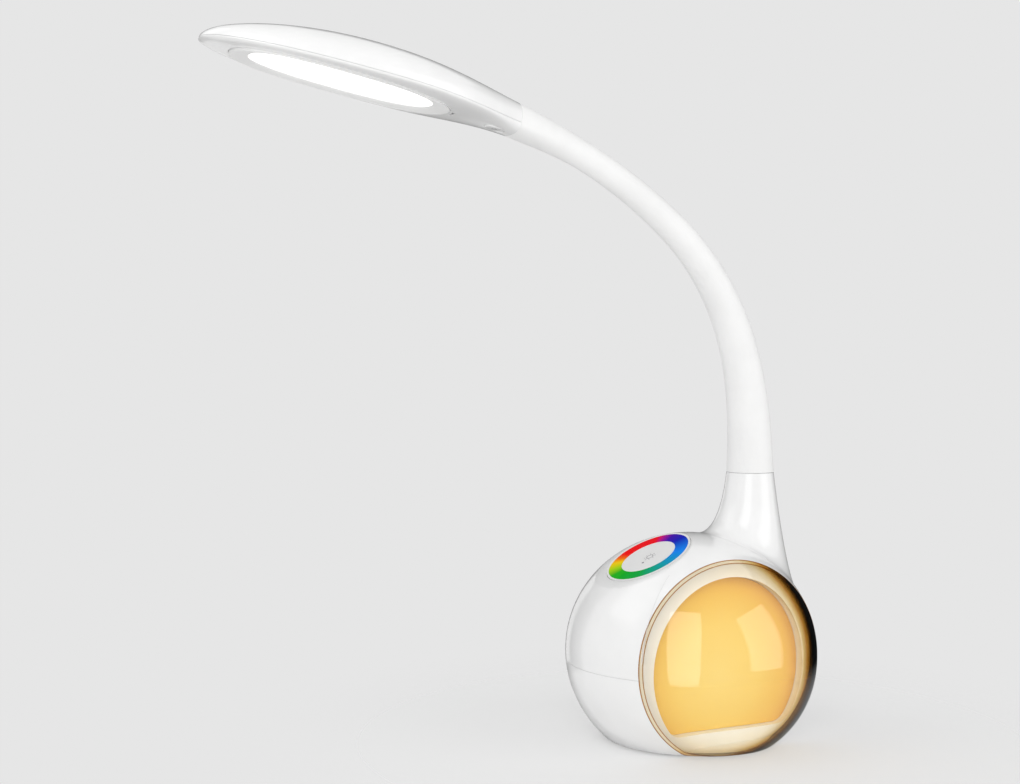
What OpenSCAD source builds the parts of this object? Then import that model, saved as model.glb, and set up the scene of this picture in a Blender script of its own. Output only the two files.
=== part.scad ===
// Gooseneck desk lamp on a ball base, with a colour ring to touch and an amber mood light.
// Origin: centre of the ball, on the desk. +Z up, the head reaches towards -X, the mood light faces -Y.

/* [Ball base] */
// Diameter of the ball, seen from above
ball_d = 130; // [122:1:140]
// Half of the ball's height, as if its foot weren't cut flat
ball_half_h = 61; // [58:0.5:66]
// Height of the ball's middle above the desk
ball_centre_z = 45; // [43:0.5:47]
// Wall of the plastic shells
shell_wall = 2.4; // [1.8:0.1:2.8]
// Height of the seam between the lower and the upper shell
seam_z = 40.5; // [39:0.5:44]
// Thickness of the rubber pad below the shells
foot_h = 1.2; // [0.8:0.1:2]

/* [Mood light] */
// Distance from the ball's axis to the flat front that holds the mood light
window_y = 35.6; // [34:0.2:37]
// Wall of the clear dome
dome_wall = 2.5; // [1.8:0.1:3]
// Extra belly of the dome's lower flanks
dome_belly = 2.5; // [0:0.5:5]
// Radius of the amber diffuser
amber_r = 45; // [38:0.5:46]
// Height of the amber diffuser's flat bottom above the desk
amber_bottom_z = 11; // [10:0.5:16]
// Thickness of the amber diffuser
amber_t = 2; // [1.5:0.1:2.5]
// Depth of the amber diffuser behind the flat front
amber_recess = 4.6; // [2.6:0.1:5]
// Depth of the white light tray
tray_depth = 18; // [14:0.5:19]

/* [Touch ring] */
// Outer diameter of the colour ring
ring_outer_d = 44; // [40:0.5:45]
// Inner diameter of the colour ring
ring_inner_d = 29.6; // [26:0.2:32]
// Distance of the ring's centre from the ball's axis
ring_offset = 25.8; // [25:0.2:28]
// Depth of the ring's flat below the ball's skin, measured straight down
ring_sink = 5.9; // [5:0.1:7]
// Slope of the ring
ring_tilt = 27.5; // [25:0.5:30]
// White margin of the panel round the ring
panel_margin = 1.2; // [0.8:0.1:1.6]

/* [Neck] */
// Distance from the ball's flank to the neck's axis
neck_inset = 27; // [26.6:0.1:30]
// Height of the collar's top above the desk
collar_top_z = 136.4; // [132:0.2:142]
// Radius of the neck at the collar
neck_root_r = 12.4; // [12:0.1:13]
// Radius of the neck where it is thinnest
neck_thin_r = 7.1; // [6.7:0.1:8]
// Radius of the flexible steel tube inside
core_r = 4; // [3.5:0.1:4.2]
// Bore of the flexible steel tube
core_bore_r = 2.6; // [2.2:0.1:2.8]
// Radius of the lead that runs through the tube
lead_r = 1.6; // [1:0.1:2]
// Gap between neighbouring neck pieces
joint_gap = 0.3; // [0.2:0.05:0.4]

/* [Head] */
// Length of the head from the neck seam to the tip
head_len = 156.5; // [148.5:1:170.5]
// Greatest width of the head
head_w = 58; // [56:1:66]
// Upward slope of the head
head_pitch = 10.2; // [9:0.1:11.4]
// Wall of the head's shells
head_wall = 1.8; // [1.4:0.1:2]
// Half of the light opening's length
light_half_l = 54; // [52:0.5:55.5]
// Half of the light opening's width
light_half_w = 21; // [20.4:0.1:21.8]
// Distance from the light opening to the head's tip
light_to_tip = 14; // [12.5:0.5:15.5]
// Length of the oval button
button_l = 10; // [8:0.5:11]
// Width of the oval button
button_w = 7; // [6:0.5:7.5]
// Travel of the oval button
button_travel = 0.6; // [0.4:0.1:0.6]

/* [Hidden] */

slack = 0.05; // radial clearance of screws and turned parts
fit_gap = 0.2; // gap round pieces that drop into a recess
ball_r = ball_d / 2;
neck_x = ball_r - neck_inset;
far = 200; // size of the blocks that cut a side off
panel_d = ring_outer_d + 2 * panel_margin;
light_x = head_len - light_half_l - light_to_tip;

// ---------- shared shapes ----------

// Radius of the ball at height z, with its surface moved in by inset.
function ball_radius(z, inset = 0) =
    (ball_r - inset) * sqrt(max(0, 1 - pow((z - ball_centre_z) / (ball_half_h - inset), 2)));

// Height of the ball's skin above a point at distance x from its axis.
function ball_skin_z(x) = ball_centre_z + ball_half_h * sqrt(max(0, 1 - pow(x / ball_r, 2)));

// A slice of the ball between two heights.
module ball_slice(inset, z0, z1) {
    half_h = ball_half_h - inset;
    a0 = asin(max(-1, (z0 - ball_centre_z) / half_h));
    a1 = asin(min(0.9998, (z1 - ball_centre_z) / half_h));
    steps = 26;
    arc = [for (i = [0:steps]) let (a = a0 + (a1 - a0) * i / steps)
        [(ball_r - inset) * cos(a), ball_centre_z + half_h * sin(a)]];
    rotate_extrude($fn = 96)
        polygon(concat([[0, arc[0][1]]], arc, [[0, arc[steps][1]]]));
}

// Everything in front of the plane y = -front.
module in_front_of(front) {
    translate([-far / 2, -far - front, -far / 2]) cube([far, far, 2 * far]);
}

// A skin through rings of points. Rings run counter-clockwise about the way from the first to
// the last; a loop joins the last ring to the first, and otherwise both ends are closed.
module ring_loft(rings, loop = false) {
    n = len(rings[0]);
    m = len(rings);
    ends = loop ? [] : [centre_of(rings[0]), centre_of(rings[m - 1])];
    last = loop ? m - 1 : m - 2;
    sides = [for (k = [0:last], i = [0:n - 1])
        let (a = k * n, b = ((k + 1) % m) * n, j = (i + 1) % n)
        each [[a + i, b + i, b + j], [a + i, b + j, a + j]]];
    caps = loop ? [] : [for (i = [0:n - 1]) let (j = (i + 1) % n)
        each [[m * n, i, j], [m * n + 1, (m - 1) * n + j, (m - 1) * n + i]]];
    polyhedron(points = concat([for (r = rings) each r], ends), faces = concat(sides, caps));
}

function sum_of(v, i = 0) = i == len(v) - 1 ? v[i] : v[i] + sum_of(v, i + 1);
function centre_of(ring) = sum_of(ring) / len(ring);
function mix(a, b, u) = a + (b - a) * u;
function ease(u) = let (v = max(0, min(1, u))) v * v * (3 - 2 * v);
function signed_pow(v, p) = sign(v) * pow(abs(v), p);

// A countersunk screw, head down, with its head's face at z = 0.
module screw(r, length, head_r) {
    head_h = head_r - r;
    cylinder(r1 = head_r, r2 = r, h = head_h, $fn = 32);
    translate([0, 0, head_h / 2]) cylinder(r = r, h = length - head_h / 2, $fn = 32);
}

// A pan head screw, head down, with the head's seat at z = 0.
module pan_screw(r, length, head_r, head_h) {
    translate([0, 0, -head_h]) cylinder(r = head_r, h = head_h, $fn = 32);
    translate([0, 0, -head_h / 2]) cylinder(r = r, h = length + head_h / 2, $fn = 32);
}

module around(radius, angles) {
    for (a = angles) rotate([0, 0, a]) translate([radius, 0, 0]) children();
}

// ---------- base: shells, plate, weight ----------

plate_t = 1.8;
plate_r = ball_radius(foot_h, shell_wall) - 0.3;
plate_top_z = foot_h + plate_t;
plate_front = window_y - dome_wall;
screw_r = 1.5;
screw_head_r = 2.8;
plate_screw_inset = 4.6;
plate_screw_r = plate_r - plate_screw_inset;
plate_angles = [0, 90, 180];
plate_boss_r = 3.4;
plate_boss_h = 10;
rib_t = 2;
ear_inset = 6.4;
ear_ring_r = ball_radius(seam_z, shell_wall) - ear_inset;
ear_angles = [30, 90, 150];
ear_r = 4;
ear_h = 8;
weight_r = plate_screw_r - plate_boss_r - fit_gap;
weight_h = 18;
weight_top_z = plate_top_z + weight_h;
weight_gap = 3;
weight_front = window_y - tray_depth - weight_gap;
weight_screw_x = 18;
inlet_z = 22;
recess_depth = 6.2;
inlet_face_y = ball_radius(inlet_z) - recess_depth;
recess_wall = 2.5;
recess_back = 4;
inlet_half_w = 4.5;
inlet_half_h = 5.5;
inlet_len = 13;
inlet_bore_r = 2.9;
recess_r = 6;

// The holes that the jack and its plug need in the lower shell.
module inlet_space() {
    translate([0, inlet_face_y, inlet_z]) rotate([-90, 0, 0]) cylinder(r = recess_r, h = far, $fn = 48);
    translate([-inlet_half_w - fit_gap, inlet_face_y - inlet_len, inlet_z - inlet_half_h - fit_gap])
        cube([2 * (inlet_half_w + fit_gap), inlet_len + 0.01, 2 * (inlet_half_h + fit_gap)]);
}

module lower_shell() {
    color("white") difference() {
        union() {
            difference() {
                ball_slice(0, foot_h, seam_z);
                ball_slice(shell_wall, foot_h - 1, seam_z + 1);
            }
            intersection() {
                ball_slice(shell_wall / 2, foot_h, seam_z);
                union() {
                    around(plate_screw_r, plate_angles) translate([0, 0, plate_top_z]) {
                        cylinder(r = plate_boss_r, h = plate_boss_h, $fn = 32);
                        translate([0, -rib_t / 2, 0]) cube([far, rib_t, plate_boss_h]);
                    }
                    around(ear_ring_r, ear_angles) translate([0, 0, seam_z - ear_h]) {
                        cylinder(r = ear_r, h = ear_h, $fn = 32);
                        translate([0, -ear_r, 0]) cube([far, 2 * ear_r, ear_h]);
                    }
                    translate([0, inlet_face_y - recess_back, inlet_z]) rotate([-90, 0, 0])
                        cylinder(r = recess_r + recess_wall, h = far, $fn = 48);
                }
            }
        }
        in_front_of(window_y);
        inlet_space();
        around(plate_screw_r, plate_angles)
            cylinder(r = screw_r + slack, h = plate_top_z + plate_boss_h - 1, $fn = 32);
        around(ear_ring_r, ear_angles)
            translate([0, 0, seam_z - ear_h - 1]) cylinder(r = screw_r + slack, h = ear_h + 2, $fn = 32);
    }
}

module base_plate() {
    color("dimgray") difference() {
        translate([0, 0, foot_h]) cylinder(r = plate_r, h = plate_t, $fn = 96);
        in_front_of(plate_front);
        translate([0, 0, foot_h]) {
            around(plate_screw_r, plate_angles) plate_hole();
            around(weight_screw_x, [0, 180]) plate_hole();
        }
    }
}

module plate_hole() {
    head_h = screw_head_r - screw_r;
    translate([0, 0, -0.01]) cylinder(r1 = screw_head_r + slack, r2 = screw_r + slack, h = head_h, $fn = 32);
    translate([0, 0, head_h / 2]) cylinder(r = screw_r + slack, h = plate_t, $fn = 32);
}

pad_r = 39;
pad_front = 31;

// The sheet of rubber under the plate covers the screws and carries the lamp.
module rubber_pad() {
    color("#303030") difference() {
        cylinder(r = pad_r, h = foot_h, $fn = 96);
        in_front_of(pad_front);
    }
}

plate_screw_l = 9;

module base_screws() {
    color("silver") translate([0, 0, foot_h + 0.01]) {
        around(plate_screw_r, plate_angles) screw(screw_r, plate_screw_l, screw_head_r);
        around(weight_screw_x, [0, 180]) screw(screw_r, plate_screw_l, screw_head_r);
    }
}

module shell_screws() {
    color("silver") around(ear_ring_r, ear_angles)
        translate([0, 0, seam_z - ear_h]) pan_screw(screw_r, 2 * ear_h, screw_head_r, 2);
}

board_t = 1.6;
post_h = 6;
board_z = weight_top_z + post_h;
board_post_r = 2.6;
post_reach = weight_r - board_post_r - 0.6;
post_angle = 42;
post_x = post_reach * cos(post_angle);
post_y = [-4, post_reach * sin(post_angle)];
board_edge = [6, 4];
pilot_r = 1.05;
plug_size = [8, 5, 5];
plug_x = 14;

module board_corners() {
    for (x = [-post_x, post_x], y = post_y) translate([x, y, 0]) children();
}

module ballast_weight() {
    color("#4a4a4c") difference() {
        union() {
            translate([0, 0, plate_top_z]) cylinder(r = weight_r, h = weight_top_z - plate_top_z, $fn = 96);
            board_corners() translate([0, 0, weight_top_z - 1]) cylinder(r = board_post_r, h = post_h + 1, $fn = 32);
        }
        in_front_of(weight_front);
        around(weight_screw_x, [0, 180]) cylinder(r = screw_r + slack, h = foot_h + plate_screw_l + 1, $fn = 32);
        board_corners() translate([0, 0, board_z - 5]) cylinder(r = pilot_r, h = 6, $fn = 24);
    }
}

module control_board() {
    color("#1c6b3c") difference() {
        translate([-post_x - board_edge[0], post_y[0] - board_edge[1], board_z])
            cube([2 * (post_x + board_edge[0]), post_y[1] - post_y[0] + 2 * board_edge[1], board_t]);
        board_corners() translate([0, 0, board_z - 1]) cylinder(r = pilot_r, h = 4, $fn = 24);
    }
}

module board_screws() {
    color("silver") board_corners()
        translate([0, 0, board_z + board_t]) rotate([180, 0, 0]) pan_screw(1, 5, 2, 1.2);
}

module control_parts() {
    top = board_z + board_t;
    color("#202020") {
        translate([-5, 8, top]) cube([10, 10, 1.2]);
        translate([-18, 9, top]) cube([6, 5, 1.6]);
        translate([11, 10, top]) cube([7, 7, 3.5]);
        translate([-14, 19, top]) cylinder(r = 3.5, h = 9, $fn = 40);
        translate([8, 20, top]) cube([3, 2, 1]);
    }
    color("ivory") for (x = [-plug_x, 0, plug_x])
        translate([x - plug_size[0] / 2, -plug_size[1] / 2, top]) cube(plug_size);
}

module power_inlet() {
    color("#181818") difference() {
        translate([-inlet_half_w, inlet_face_y - inlet_len, inlet_z - inlet_half_h])
            cube([2 * inlet_half_w, inlet_len, 2 * inlet_half_h]);
        translate([0, inlet_face_y - inlet_len + 2, inlet_z]) rotate([-90, 0, 0])
            cylinder(r = inlet_bore_r, h = inlet_len, $fn = 48);
    }
}

module inlet_pin() {
    color("silver") translate([0, inlet_face_y - inlet_len + 2, inlet_z]) rotate([-90, 0, 0]) {
        cylinder(r = 1, h = inlet_len - 3.6, $fn = 32);
        translate([0, 0, inlet_len - 3.6]) cylinder(r1 = 1, r2 = 0.6, h = 0.6, $fn = 32);
    }
}

// ---------- base: upper shell with the neck's flare ----------

flare_foot_r = 28;
flare_lean = 2;
flare_slope = 0.12;
flare_sides = 40;
socket_r = 9.3;
socket_z = 112;
socket_floor = 4;
flange_r = neck_root_r - 1.6;
flange_h = 2;
nut_top_z = collar_top_z - 17.4;
nut_h = 5.2;
nut_r = 11.8;
nut_room_r = nut_r + 0.8;
flare_bore_r = 16.5;
flare_bore_h = 47;

function flare_reach(a) = flare_foot_r - flare_lean * cos(a);

// Radius and height of the flare at angle a round the neck's axis, from the collar, u = 0, to the
// ball, u = 1: a curve whose ends follow the collar's slope and the ball's own slope.
function flare_point(a, u) =
    let (reach = flare_reach(a),
        x = neck_x + reach * cos(a),
        y = reach * sin(a),
        rise = ball_half_h * sqrt(max(0.02, 1 - (x * x + y * y) / (ball_r * ball_r))),
        foot_z = ball_centre_z + rise - 0.15,
        slope = -pow(ball_half_h / ball_r, 2) * (x * cos(a) + y * sin(a)) / rise,
        mid_r = (neck_root_r + flare_slope * (collar_top_z - foot_z + slope * reach))
            / (1 + flare_slope * slope),
        mid_z = foot_z + slope * (mid_r - reach),
        v = 1 - u)
    [v * v * neck_root_r + 2 * u * v * mid_r + u * u * reach,
     v * v * collar_top_z + 2 * u * v * mid_z + u * u * foot_z];

function flare_ring(u, shrink = 0, drop = 0) = [for (i = [0:flare_sides - 1])
    let (a = -360 * i / flare_sides, p = flare_point(a, u))
    [neck_x + (p[0] - shrink) * cos(a), (p[0] - shrink) * sin(a), p[1] - drop]];

module flare() {
    ring_loft(concat([for (k = [0:9]) flare_ring(k / 9)], [flare_ring(1, 4, 5)]));
}

ring_z = ball_skin_z(ring_offset) - ring_sink;
panel_backing = 5;
facet_margin = 8;

module touch_frame() {
    translate([-ring_offset, 0, ring_z]) rotate([0, -ring_tilt, 0]) children();
}

panel_t = 2;
touch_board_r = 19.8;
touch_board_t = 1.2;
panel_proud = 0.15;

module upper_shell() {
    top_z = ball_centre_z + ball_half_h;
    color("white") difference() {
        union() {
            difference() {
                union() {
                    ball_slice(0, seam_z, top_z);
                    flare();
                }
                ball_slice(shell_wall, seam_z - 1, top_z);
            }
            intersection() {
                ball_slice(shell_wall / 2, seam_z, top_z);
                union() {
                    around(ear_ring_r, ear_angles) translate([0, 0, seam_z]) {
                        cylinder(r = ear_r, h = ear_h + 3, $fn = 32);
                        translate([0, -rib_t / 2, 0]) cube([far, rib_t, ear_h + 3]);
                    }
                    touch_frame() translate([0, 0, -panel_backing])
                        cylinder(r = panel_d / 2 + 3, h = panel_backing, $fn = 72);
                }
            }
        }
        in_front_of(window_y);
        translate([neck_x, 0, 0]) rotate_extrude($fn = 72) polygon([[0, collar_top_z + 1],
            [socket_r + slack, collar_top_z + 1], [socket_r + slack, nut_top_z], [nut_room_r, nut_top_z],
            [nut_room_r, nut_top_z - nut_h - 1], [flare_bore_r, ball_centre_z + flare_bore_h],
            [flare_bore_r, ball_centre_z + flare_bore_h - 10], [0, ball_centre_z + flare_bore_h - 10]]);
        around(ear_ring_r, ear_angles)
            translate([0, 0, seam_z - 1]) cylinder(r = screw_r + slack, h = ear_h + 2, $fn = 32);
        touch_frame() {
            cylinder(r = panel_d / 2 + facet_margin, h = far / 4, $fn = 72);
            translate([0, 0, -panel_t]) cylinder(r = panel_d / 2 + fit_gap, h = 4, $fn = 72);
            translate([0, 0, -panel_t - touch_board_t - 0.1])
                cylinder(r = touch_board_r + fit_gap, h = 3, $fn = 72);
            translate([0, 0, -2 * panel_backing]) cylinder(r = touch_board_r - 2.3, h = 2 * panel_backing, $fn = 72);
        }
    }
}

module neck_socket() {
    color("silver") translate([neck_x, 0, 0]) difference() {
        union() {
            translate([0, 0, socket_z]) cylinder(r = socket_r, h = collar_top_z - socket_z, $fn = 64);
            translate([0, 0, collar_top_z]) cylinder(r = flange_r, h = flange_h, $fn = 64);
        }
        translate([0, 0, socket_z + socket_floor]) cylinder(r = core_r + slack, h = 40, $fn = 40);
        translate([0, 0, socket_z - 1]) cylinder(r = lead_r + 0.6, h = socket_floor + 2, $fn = 32);
    }
}

module neck_nut() {
    color("silver") translate([neck_x, 0, nut_top_z - nut_h]) difference() {
        cylinder(r = nut_r, h = nut_h, $fn = 6);
        translate([0, 0, -1]) cylinder(r = socket_r + slack, h = nut_h + 2, $fn = 64);
    }
}

// ---------- base: touch ring ----------

module touch_panel() {
    color("whitesmoke") touch_frame() difference() {
        translate([0, 0, -panel_t]) cylinder(r = panel_d / 2, h = panel_t + panel_proud, $fn = 96);
        translate([0, 0, panel_proud - ring_t]) difference() {
            cylinder(r = ring_outer_d / 2 + slack, h = 2, $fn = 96);
            translate([0, 0, -1]) cylinder(r = ring_inner_d / 2 - slack, h = 4, $fn = 96);
        }
    }
}

ring_t = 0.8;

module colour_ring() {
    color("deepskyblue") touch_frame() translate([0, 0, panel_proud - ring_t]) difference() {
        cylinder(r = ring_outer_d / 2, h = ring_t, $fn = 96);
        translate([0, 0, -1]) cylinder(r = ring_inner_d / 2, h = 3, $fn = 96);
    }
}

module touch_board() {
    color("#1c6b3c") touch_frame() translate([0, 0, -panel_t - touch_board_t])
        cylinder(r = touch_board_r, h = touch_board_t, $fn = 72);
}

// ---------- base: mood light ----------

window_k = 1 - pow(window_y / ball_r, 2);
window_half_w = ball_r * sqrt(window_k);
window_half_h = ball_half_h * sqrt(window_k);
dome_sides = 44;
dome_rings = 9;

// One ring of the dome, at share u of the way from its rim to its pole, with its skin moved in.
function dome_ring(u, inset, back) = [for (i = [0:dome_sides - 1])
    let (a = 360 * i / dome_sides, s = cos(90 * u),
        belly = dome_belly * max(0, -sin(a)) * 6.75 * pow(s, 4) * (1 - s * s),
        depth = sqrt(1 - s * s * window_k) * (ball_r - inset))
    [(window_half_w - inset) * s * cos(a), -max(back, depth + belly),
     ball_centre_z + (window_half_h - inset) * s * sin(a)]];

module dome_cap(inset, back) {
    rings = concat(back < window_y ? [dome_back_ring(inset, back)] : [],
        [for (k = [0:dome_rings]) dome_ring(0.985 * k / dome_rings, inset, window_y)]);
    ring_loft(rings);
}

function dome_back_ring(inset, back) = [for (p = dome_ring(0, inset, 0)) [p[0], -back, p[2]]];

module above(z) {
    translate([-far / 2, -far, z]) cube([far, far, far]);
}

module mood_dome() {
    color("#f6d9a0", 0.5) difference() {
        intersection() {
            dome_cap(0, window_y);
            above(foot_h);
        }
        intersection() {
            dome_cap(dome_wall, window_y - 3);
            above(foot_h + dome_wall);
        }
    }
}

// Outline of the amber diffuser, grown by extra: a circle with a flat bottom and round corners.
module amber_outline(extra = 0) {
    corner = 9;
    offset(r = corner + extra, $fn = 96) difference() {
        circle(r = amber_r - corner, $fn = 96);
        translate([-far / 2, amber_bottom_z + corner - amber_middle_z - far]) square([far, far]);
    }
}

// Stands an outline up behind the window, from y = -front back by depth.
module upright(front, depth) {
    translate([0, -front + depth, amber_middle_z]) rotate([90, 0, 0]) linear_extrude(depth) children();
}

tray_wall = 1.6;
tray_flange_t = 2;
amber_middle_z = ball_centre_z - 3.5;
amber_front = window_y - amber_recess;

module mood_diffuser() {
    color("orange") upright(amber_front, amber_t) amber_outline();
}

module light_tray() {
    color("ivory") difference() {
        union() {
            intersection() {
                ball_slice(shell_wall + fit_gap, foot_h + dome_wall, ball_centre_z + ball_half_h);
                translate([-far / 2, -window_y, 0]) cube([far, tray_flange_t, far]);
            }
            upright(window_y - 1, tray_depth - 1) amber_outline(tray_wall + fit_gap);
        }
        upright(window_y + 1, tray_depth + 1 - tray_wall) amber_outline(-3);
        upright(window_y + 1, 1 + amber_recess + amber_t) amber_outline(fit_gap);
        translate([0, -tray_back - 1, mood_plug_z]) rotate([-90, 0, 0])
            cylinder(r = mood_lead_r + 0.6, h = 4, $fn = 32);
    }
}

tray_back = window_y - tray_depth + tray_wall;
mood_plug_z = 24;
mood_lead_r = 1.2;
mood_board_t = 1.6;

module mood_led_board() {
    color("#e8ece8") upright(tray_back + mood_board_t, mood_board_t) amber_outline(-3.3);
}

led_side = 5;
led_t = 0.8;

module mood_leds() {
    color("lemonchiffon") for (ring = [[0, 1], [12.5, 6], [24, 12]], i = [0:ring[1] - 1])
        translate([ring[0] * cos(360 * i / ring[1]) - led_side / 2, -tray_back - mood_board_t - led_t,
            amber_middle_z + ring[0] * sin(360 * i / ring[1]) - led_side / 2])
            cube([led_side, led_t, led_side]);
}

// ---------- leads ----------

function unit(v) = v / norm(v);

// A round lead along a curve that leaves p0 towards p1 and reaches p3 from p2. The curve's plane
// faces along flat.
module lead(p0, p1, p2, p3, r, steps, flat, sides = 10) {
    ring_loft([for (k = [0:steps])
        let (u = k / steps, v = 1 - u,
            p = v * v * v * p0 + 3 * u * v * v * p1 + 3 * u * u * v * p2 + u * u * u * p3,
            way = unit(v * v * (p1 - p0) + 2 * u * v * (p2 - p1) + u * u * (p3 - p2)),
            side = cross(flat, way))
        [for (i = [0:sides - 1]) let (a = 360 * i / sides)
            p + r * (cos(a) * side + sin(a) * cross(way, side))]]);
}

plug_top_z = board_z + board_t + plug_size[2] + 0.1;
lead_start = socket_z + 2.4 - collar_top_z;
touch_lead_r = 1;

module base_lead() {
    color("#303030") lead([plug_x, 0, plug_top_z], [plug_x, 0, 76], [neck_x, 0, 70],
        [neck_x, 0, collar_top_z + lead_start - 0.1], lead_r, 26, [0, 1, 0]);
}

module mood_lead() {
    color("#303030") lead([0, 0, plug_top_z], [0, 0, plug_top_z + 12], [0, -10, mood_plug_z],
        [0, -tray_back + 0.1, mood_plug_z], mood_lead_r, 16, [1, 0, 0]);
}

// From the touch board's underside to the control board.
module touch_lead() {
    drop = panel_t + touch_board_t + 0.1;
    down = [sin(ring_tilt), 0, -cos(ring_tilt)];
    top = [-ring_offset, 0, ring_z];
    color("#303030") lead([-plug_x, 0, plug_top_z], [-plug_x, 0, 56], top + (drop + 20) * down,
        top + drop * down, touch_lead_r, 16, [0, 1, 0]);
}

// ---------- neck ----------

// The neck's centreline: arcs of [length, turn], tangent to each other, starting upright.
neck_arcs = [[25, 3.6], [33, 9.7], [83, 37.2], [93, 20.6], [13.5, 0]];
neck_len = sum_of([for (arc = neck_arcs) arc[0]]);
thin_s = 200;
joint_s = [28, 70, 112, 154, 196];
ball_ratio = 1.3;

// Place on the centreline at distance s from the collar: [x, z, lean from upright].
function neck_at(s, i = 0, x = neck_x, z = collar_top_z, a = 0) =
    let (arc = neck_arcs[i], last = i == len(neck_arcs) - 1,
        run = (last || s < arc[0]) ? s : arc[0], turn = s < 0 ? 0 : arc[1] * run / arc[0],
        r = turn == 0 ? 0 : run * 180 / (PI * turn),
        x2 = turn == 0 ? x - run * sin(a) : x + r * (cos(a + turn) - cos(a)),
        z2 = turn == 0 ? z + run * cos(a) : z + r * (sin(a + turn) - sin(a)))
    (last || s <= arc[0]) ? [x2, z2, a + turn] : neck_at(s - run, i + 1, x2, z2, a + turn);

function sleeve_r(s) = mix(neck_thin_r, neck_root_r, pow(max(0, 1 - max(0, s) / thin_s), 1.6));

// The point at height n above and y beside the centreline, at place = [x, z, lean], moved on by t.
function on_neck(place, t, n, y) =
    [place[0] - t * sin(place[2]) + n * cos(place[2]), y, place[1] + t * cos(place[2]) + n * sin(place[2])];

function neck_ring(place, t, r, sides) =
    [for (i = [0:sides - 1]) let (a = 360 * i / sides) on_neck(place, t, r * cos(a), r * sin(a))];

// Half-way section between a circle and the head's root: width, top and bottom each their own.
function blend_ring(place, w, top, bottom, sides, power) =
    [for (i = [0:sides - 1])
        let (a = 360 * i / sides, c = signed_pow(cos(a), power), h = c > 0 ? top : bottom)
        on_neck(place, 0, h * c, w * signed_pow(sin(a), power))];

// Radius of the ball end at joint j.
function end_ball(j) = ball_ratio * sleeve_r(joint_s[j]);

// Rings of a cap on the ball end of joint j, from radius r0 to r1, with the ball grown by grow.
function cap_rings(j, r0, r1, grow, steps, sides) =
    let (place = neck_at(joint_s[j]), ball = end_ball(j) + grow)
    [for (k = [0:steps]) let (r = mix(r0, r1, k / steps))
        neck_ring(place, sqrt(ball * ball - r * r), r, sides)];

// Distance of a ring of radius r on joint j's ball past the joint's middle.
function past_joint(j, r, grow = 0) = sqrt(pow(end_ball(j) + grow, 2) - r * r);

root_pocket = flange_h + fit_gap;
ferrule_len = 10;
ferrule_r = 5.9;
ferrule_past = 1.5;

// Piece k of the tube with outer radius outer, or of the sleeve if outer is 0. Its lower end is
// a cup round joint k - 1's ball, and its upper end is joint k's ball.
function tube_rings(k, outer, inner, start_s, end_s, rows, sides) =
    let (low = k > 0, high = k < len(joint_s),
        ro0 = outer > 0 ? outer : sleeve_r(low ? joint_s[k - 1] : start_s),
        ro1 = outer > 0 ? outer : sleeve_r(high ? joint_s[k] : end_s),
        s0 = low ? joint_s[k - 1] + past_joint(k - 1, ro0, joint_gap) : start_s,
        s1 = high ? joint_s[k] + past_joint(k, ro1) : end_s,
        t0 = low ? joint_s[k - 1] + past_joint(k - 1, inner, joint_gap) : start_s,
        t1 = high ? joint_s[k] + past_joint(k, inner) : end_s)
    concat(
        low ? cap_rings(k - 1, inner, ro0, joint_gap, 3, sides) : [neck_ring(neck_at(s0), 0, inner, sides),
            neck_ring(neck_at(s0), 0, ro0, sides)],
        [for (i = [1:rows - 1]) let (s = mix(s0, s1, i / rows))
            neck_ring(neck_at(s), 0, outer > 0 ? outer : sleeve_r(s), sides)],
        high ? cap_rings(k, ro1, inner, 0, 3, sides) : [neck_ring(neck_at(s1), 0, ro1, sides),
            neck_ring(neck_at(s1), 0, inner, sides)],
        [for (i = [1:rows - 1]) let (s = mix(t1, t0, i / rows)) neck_ring(neck_at(s), 0, inner, sides)]);

module tube_piece(k, outer, inner, start_s, end_s, rows, sides) {
    ring_loft(tube_rings(k, outer, inner, start_s, end_s, rows, sides), true);
}

sleeve_sides = 24;
core_sides = 14;
core_slack = 0.25;
core_start = socket_z + socket_floor + fit_gap - collar_top_z;
core_end = neck_len - 0.5;

module sleeve_piece(k) {
    color("#f4f4f2") tube_piece(k, 0, core_r + core_slack, 0, neck_len, 7, sleeve_sides);
}

module core_piece(k) {
    color("silver") tube_piece(k, core_r, core_bore_r, core_start, core_end, 5, core_sides);
}

module lead_piece(k) {
    s0 = k > 0 ? joint_s[k - 1] + past_joint(k - 1, lead_r, joint_gap) : lead_start;
    s1 = k < len(joint_s) ? joint_s[k] + past_joint(k, lead_r) : core_end;
    color("#303030") ring_loft([for (i = [0:6]) neck_ring(neck_at(mix(s0, s1, i / 6)), 0, lead_r, 8)]);
}

// The lowest sleeve piece sits over the socket's flange.
module sleeve_0() {
    difference() {
        sleeve_piece(0);
        translate([neck_x, 0, collar_top_z - 1])
            cylinder(r = flange_r + fit_gap, h = 1 + root_pocket, $fn = 64);
    }
}

// A section of the neck's last piece, at distance s, where share e of it is already the head's root.
function root_ring(s, e) =
    let (at = neck_at(s), r = sleeve_r(s),
        turn = (90 - head_pitch - at[2]) * ease((s - pocket_s) / (neck_len - pocket_s)),
        place = on_drop([at[0], at[1], at[2] + turn], root_drop * e))
    blend_ring(place, mix(r, head_root_w, e), mix(r, head_root_t, e), mix(r, head_root_b, e),
        sleeve_sides, mix(1, 2 / head_power, e));

pocket_s = neck_len - ferrule_len - 0.6;

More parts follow.
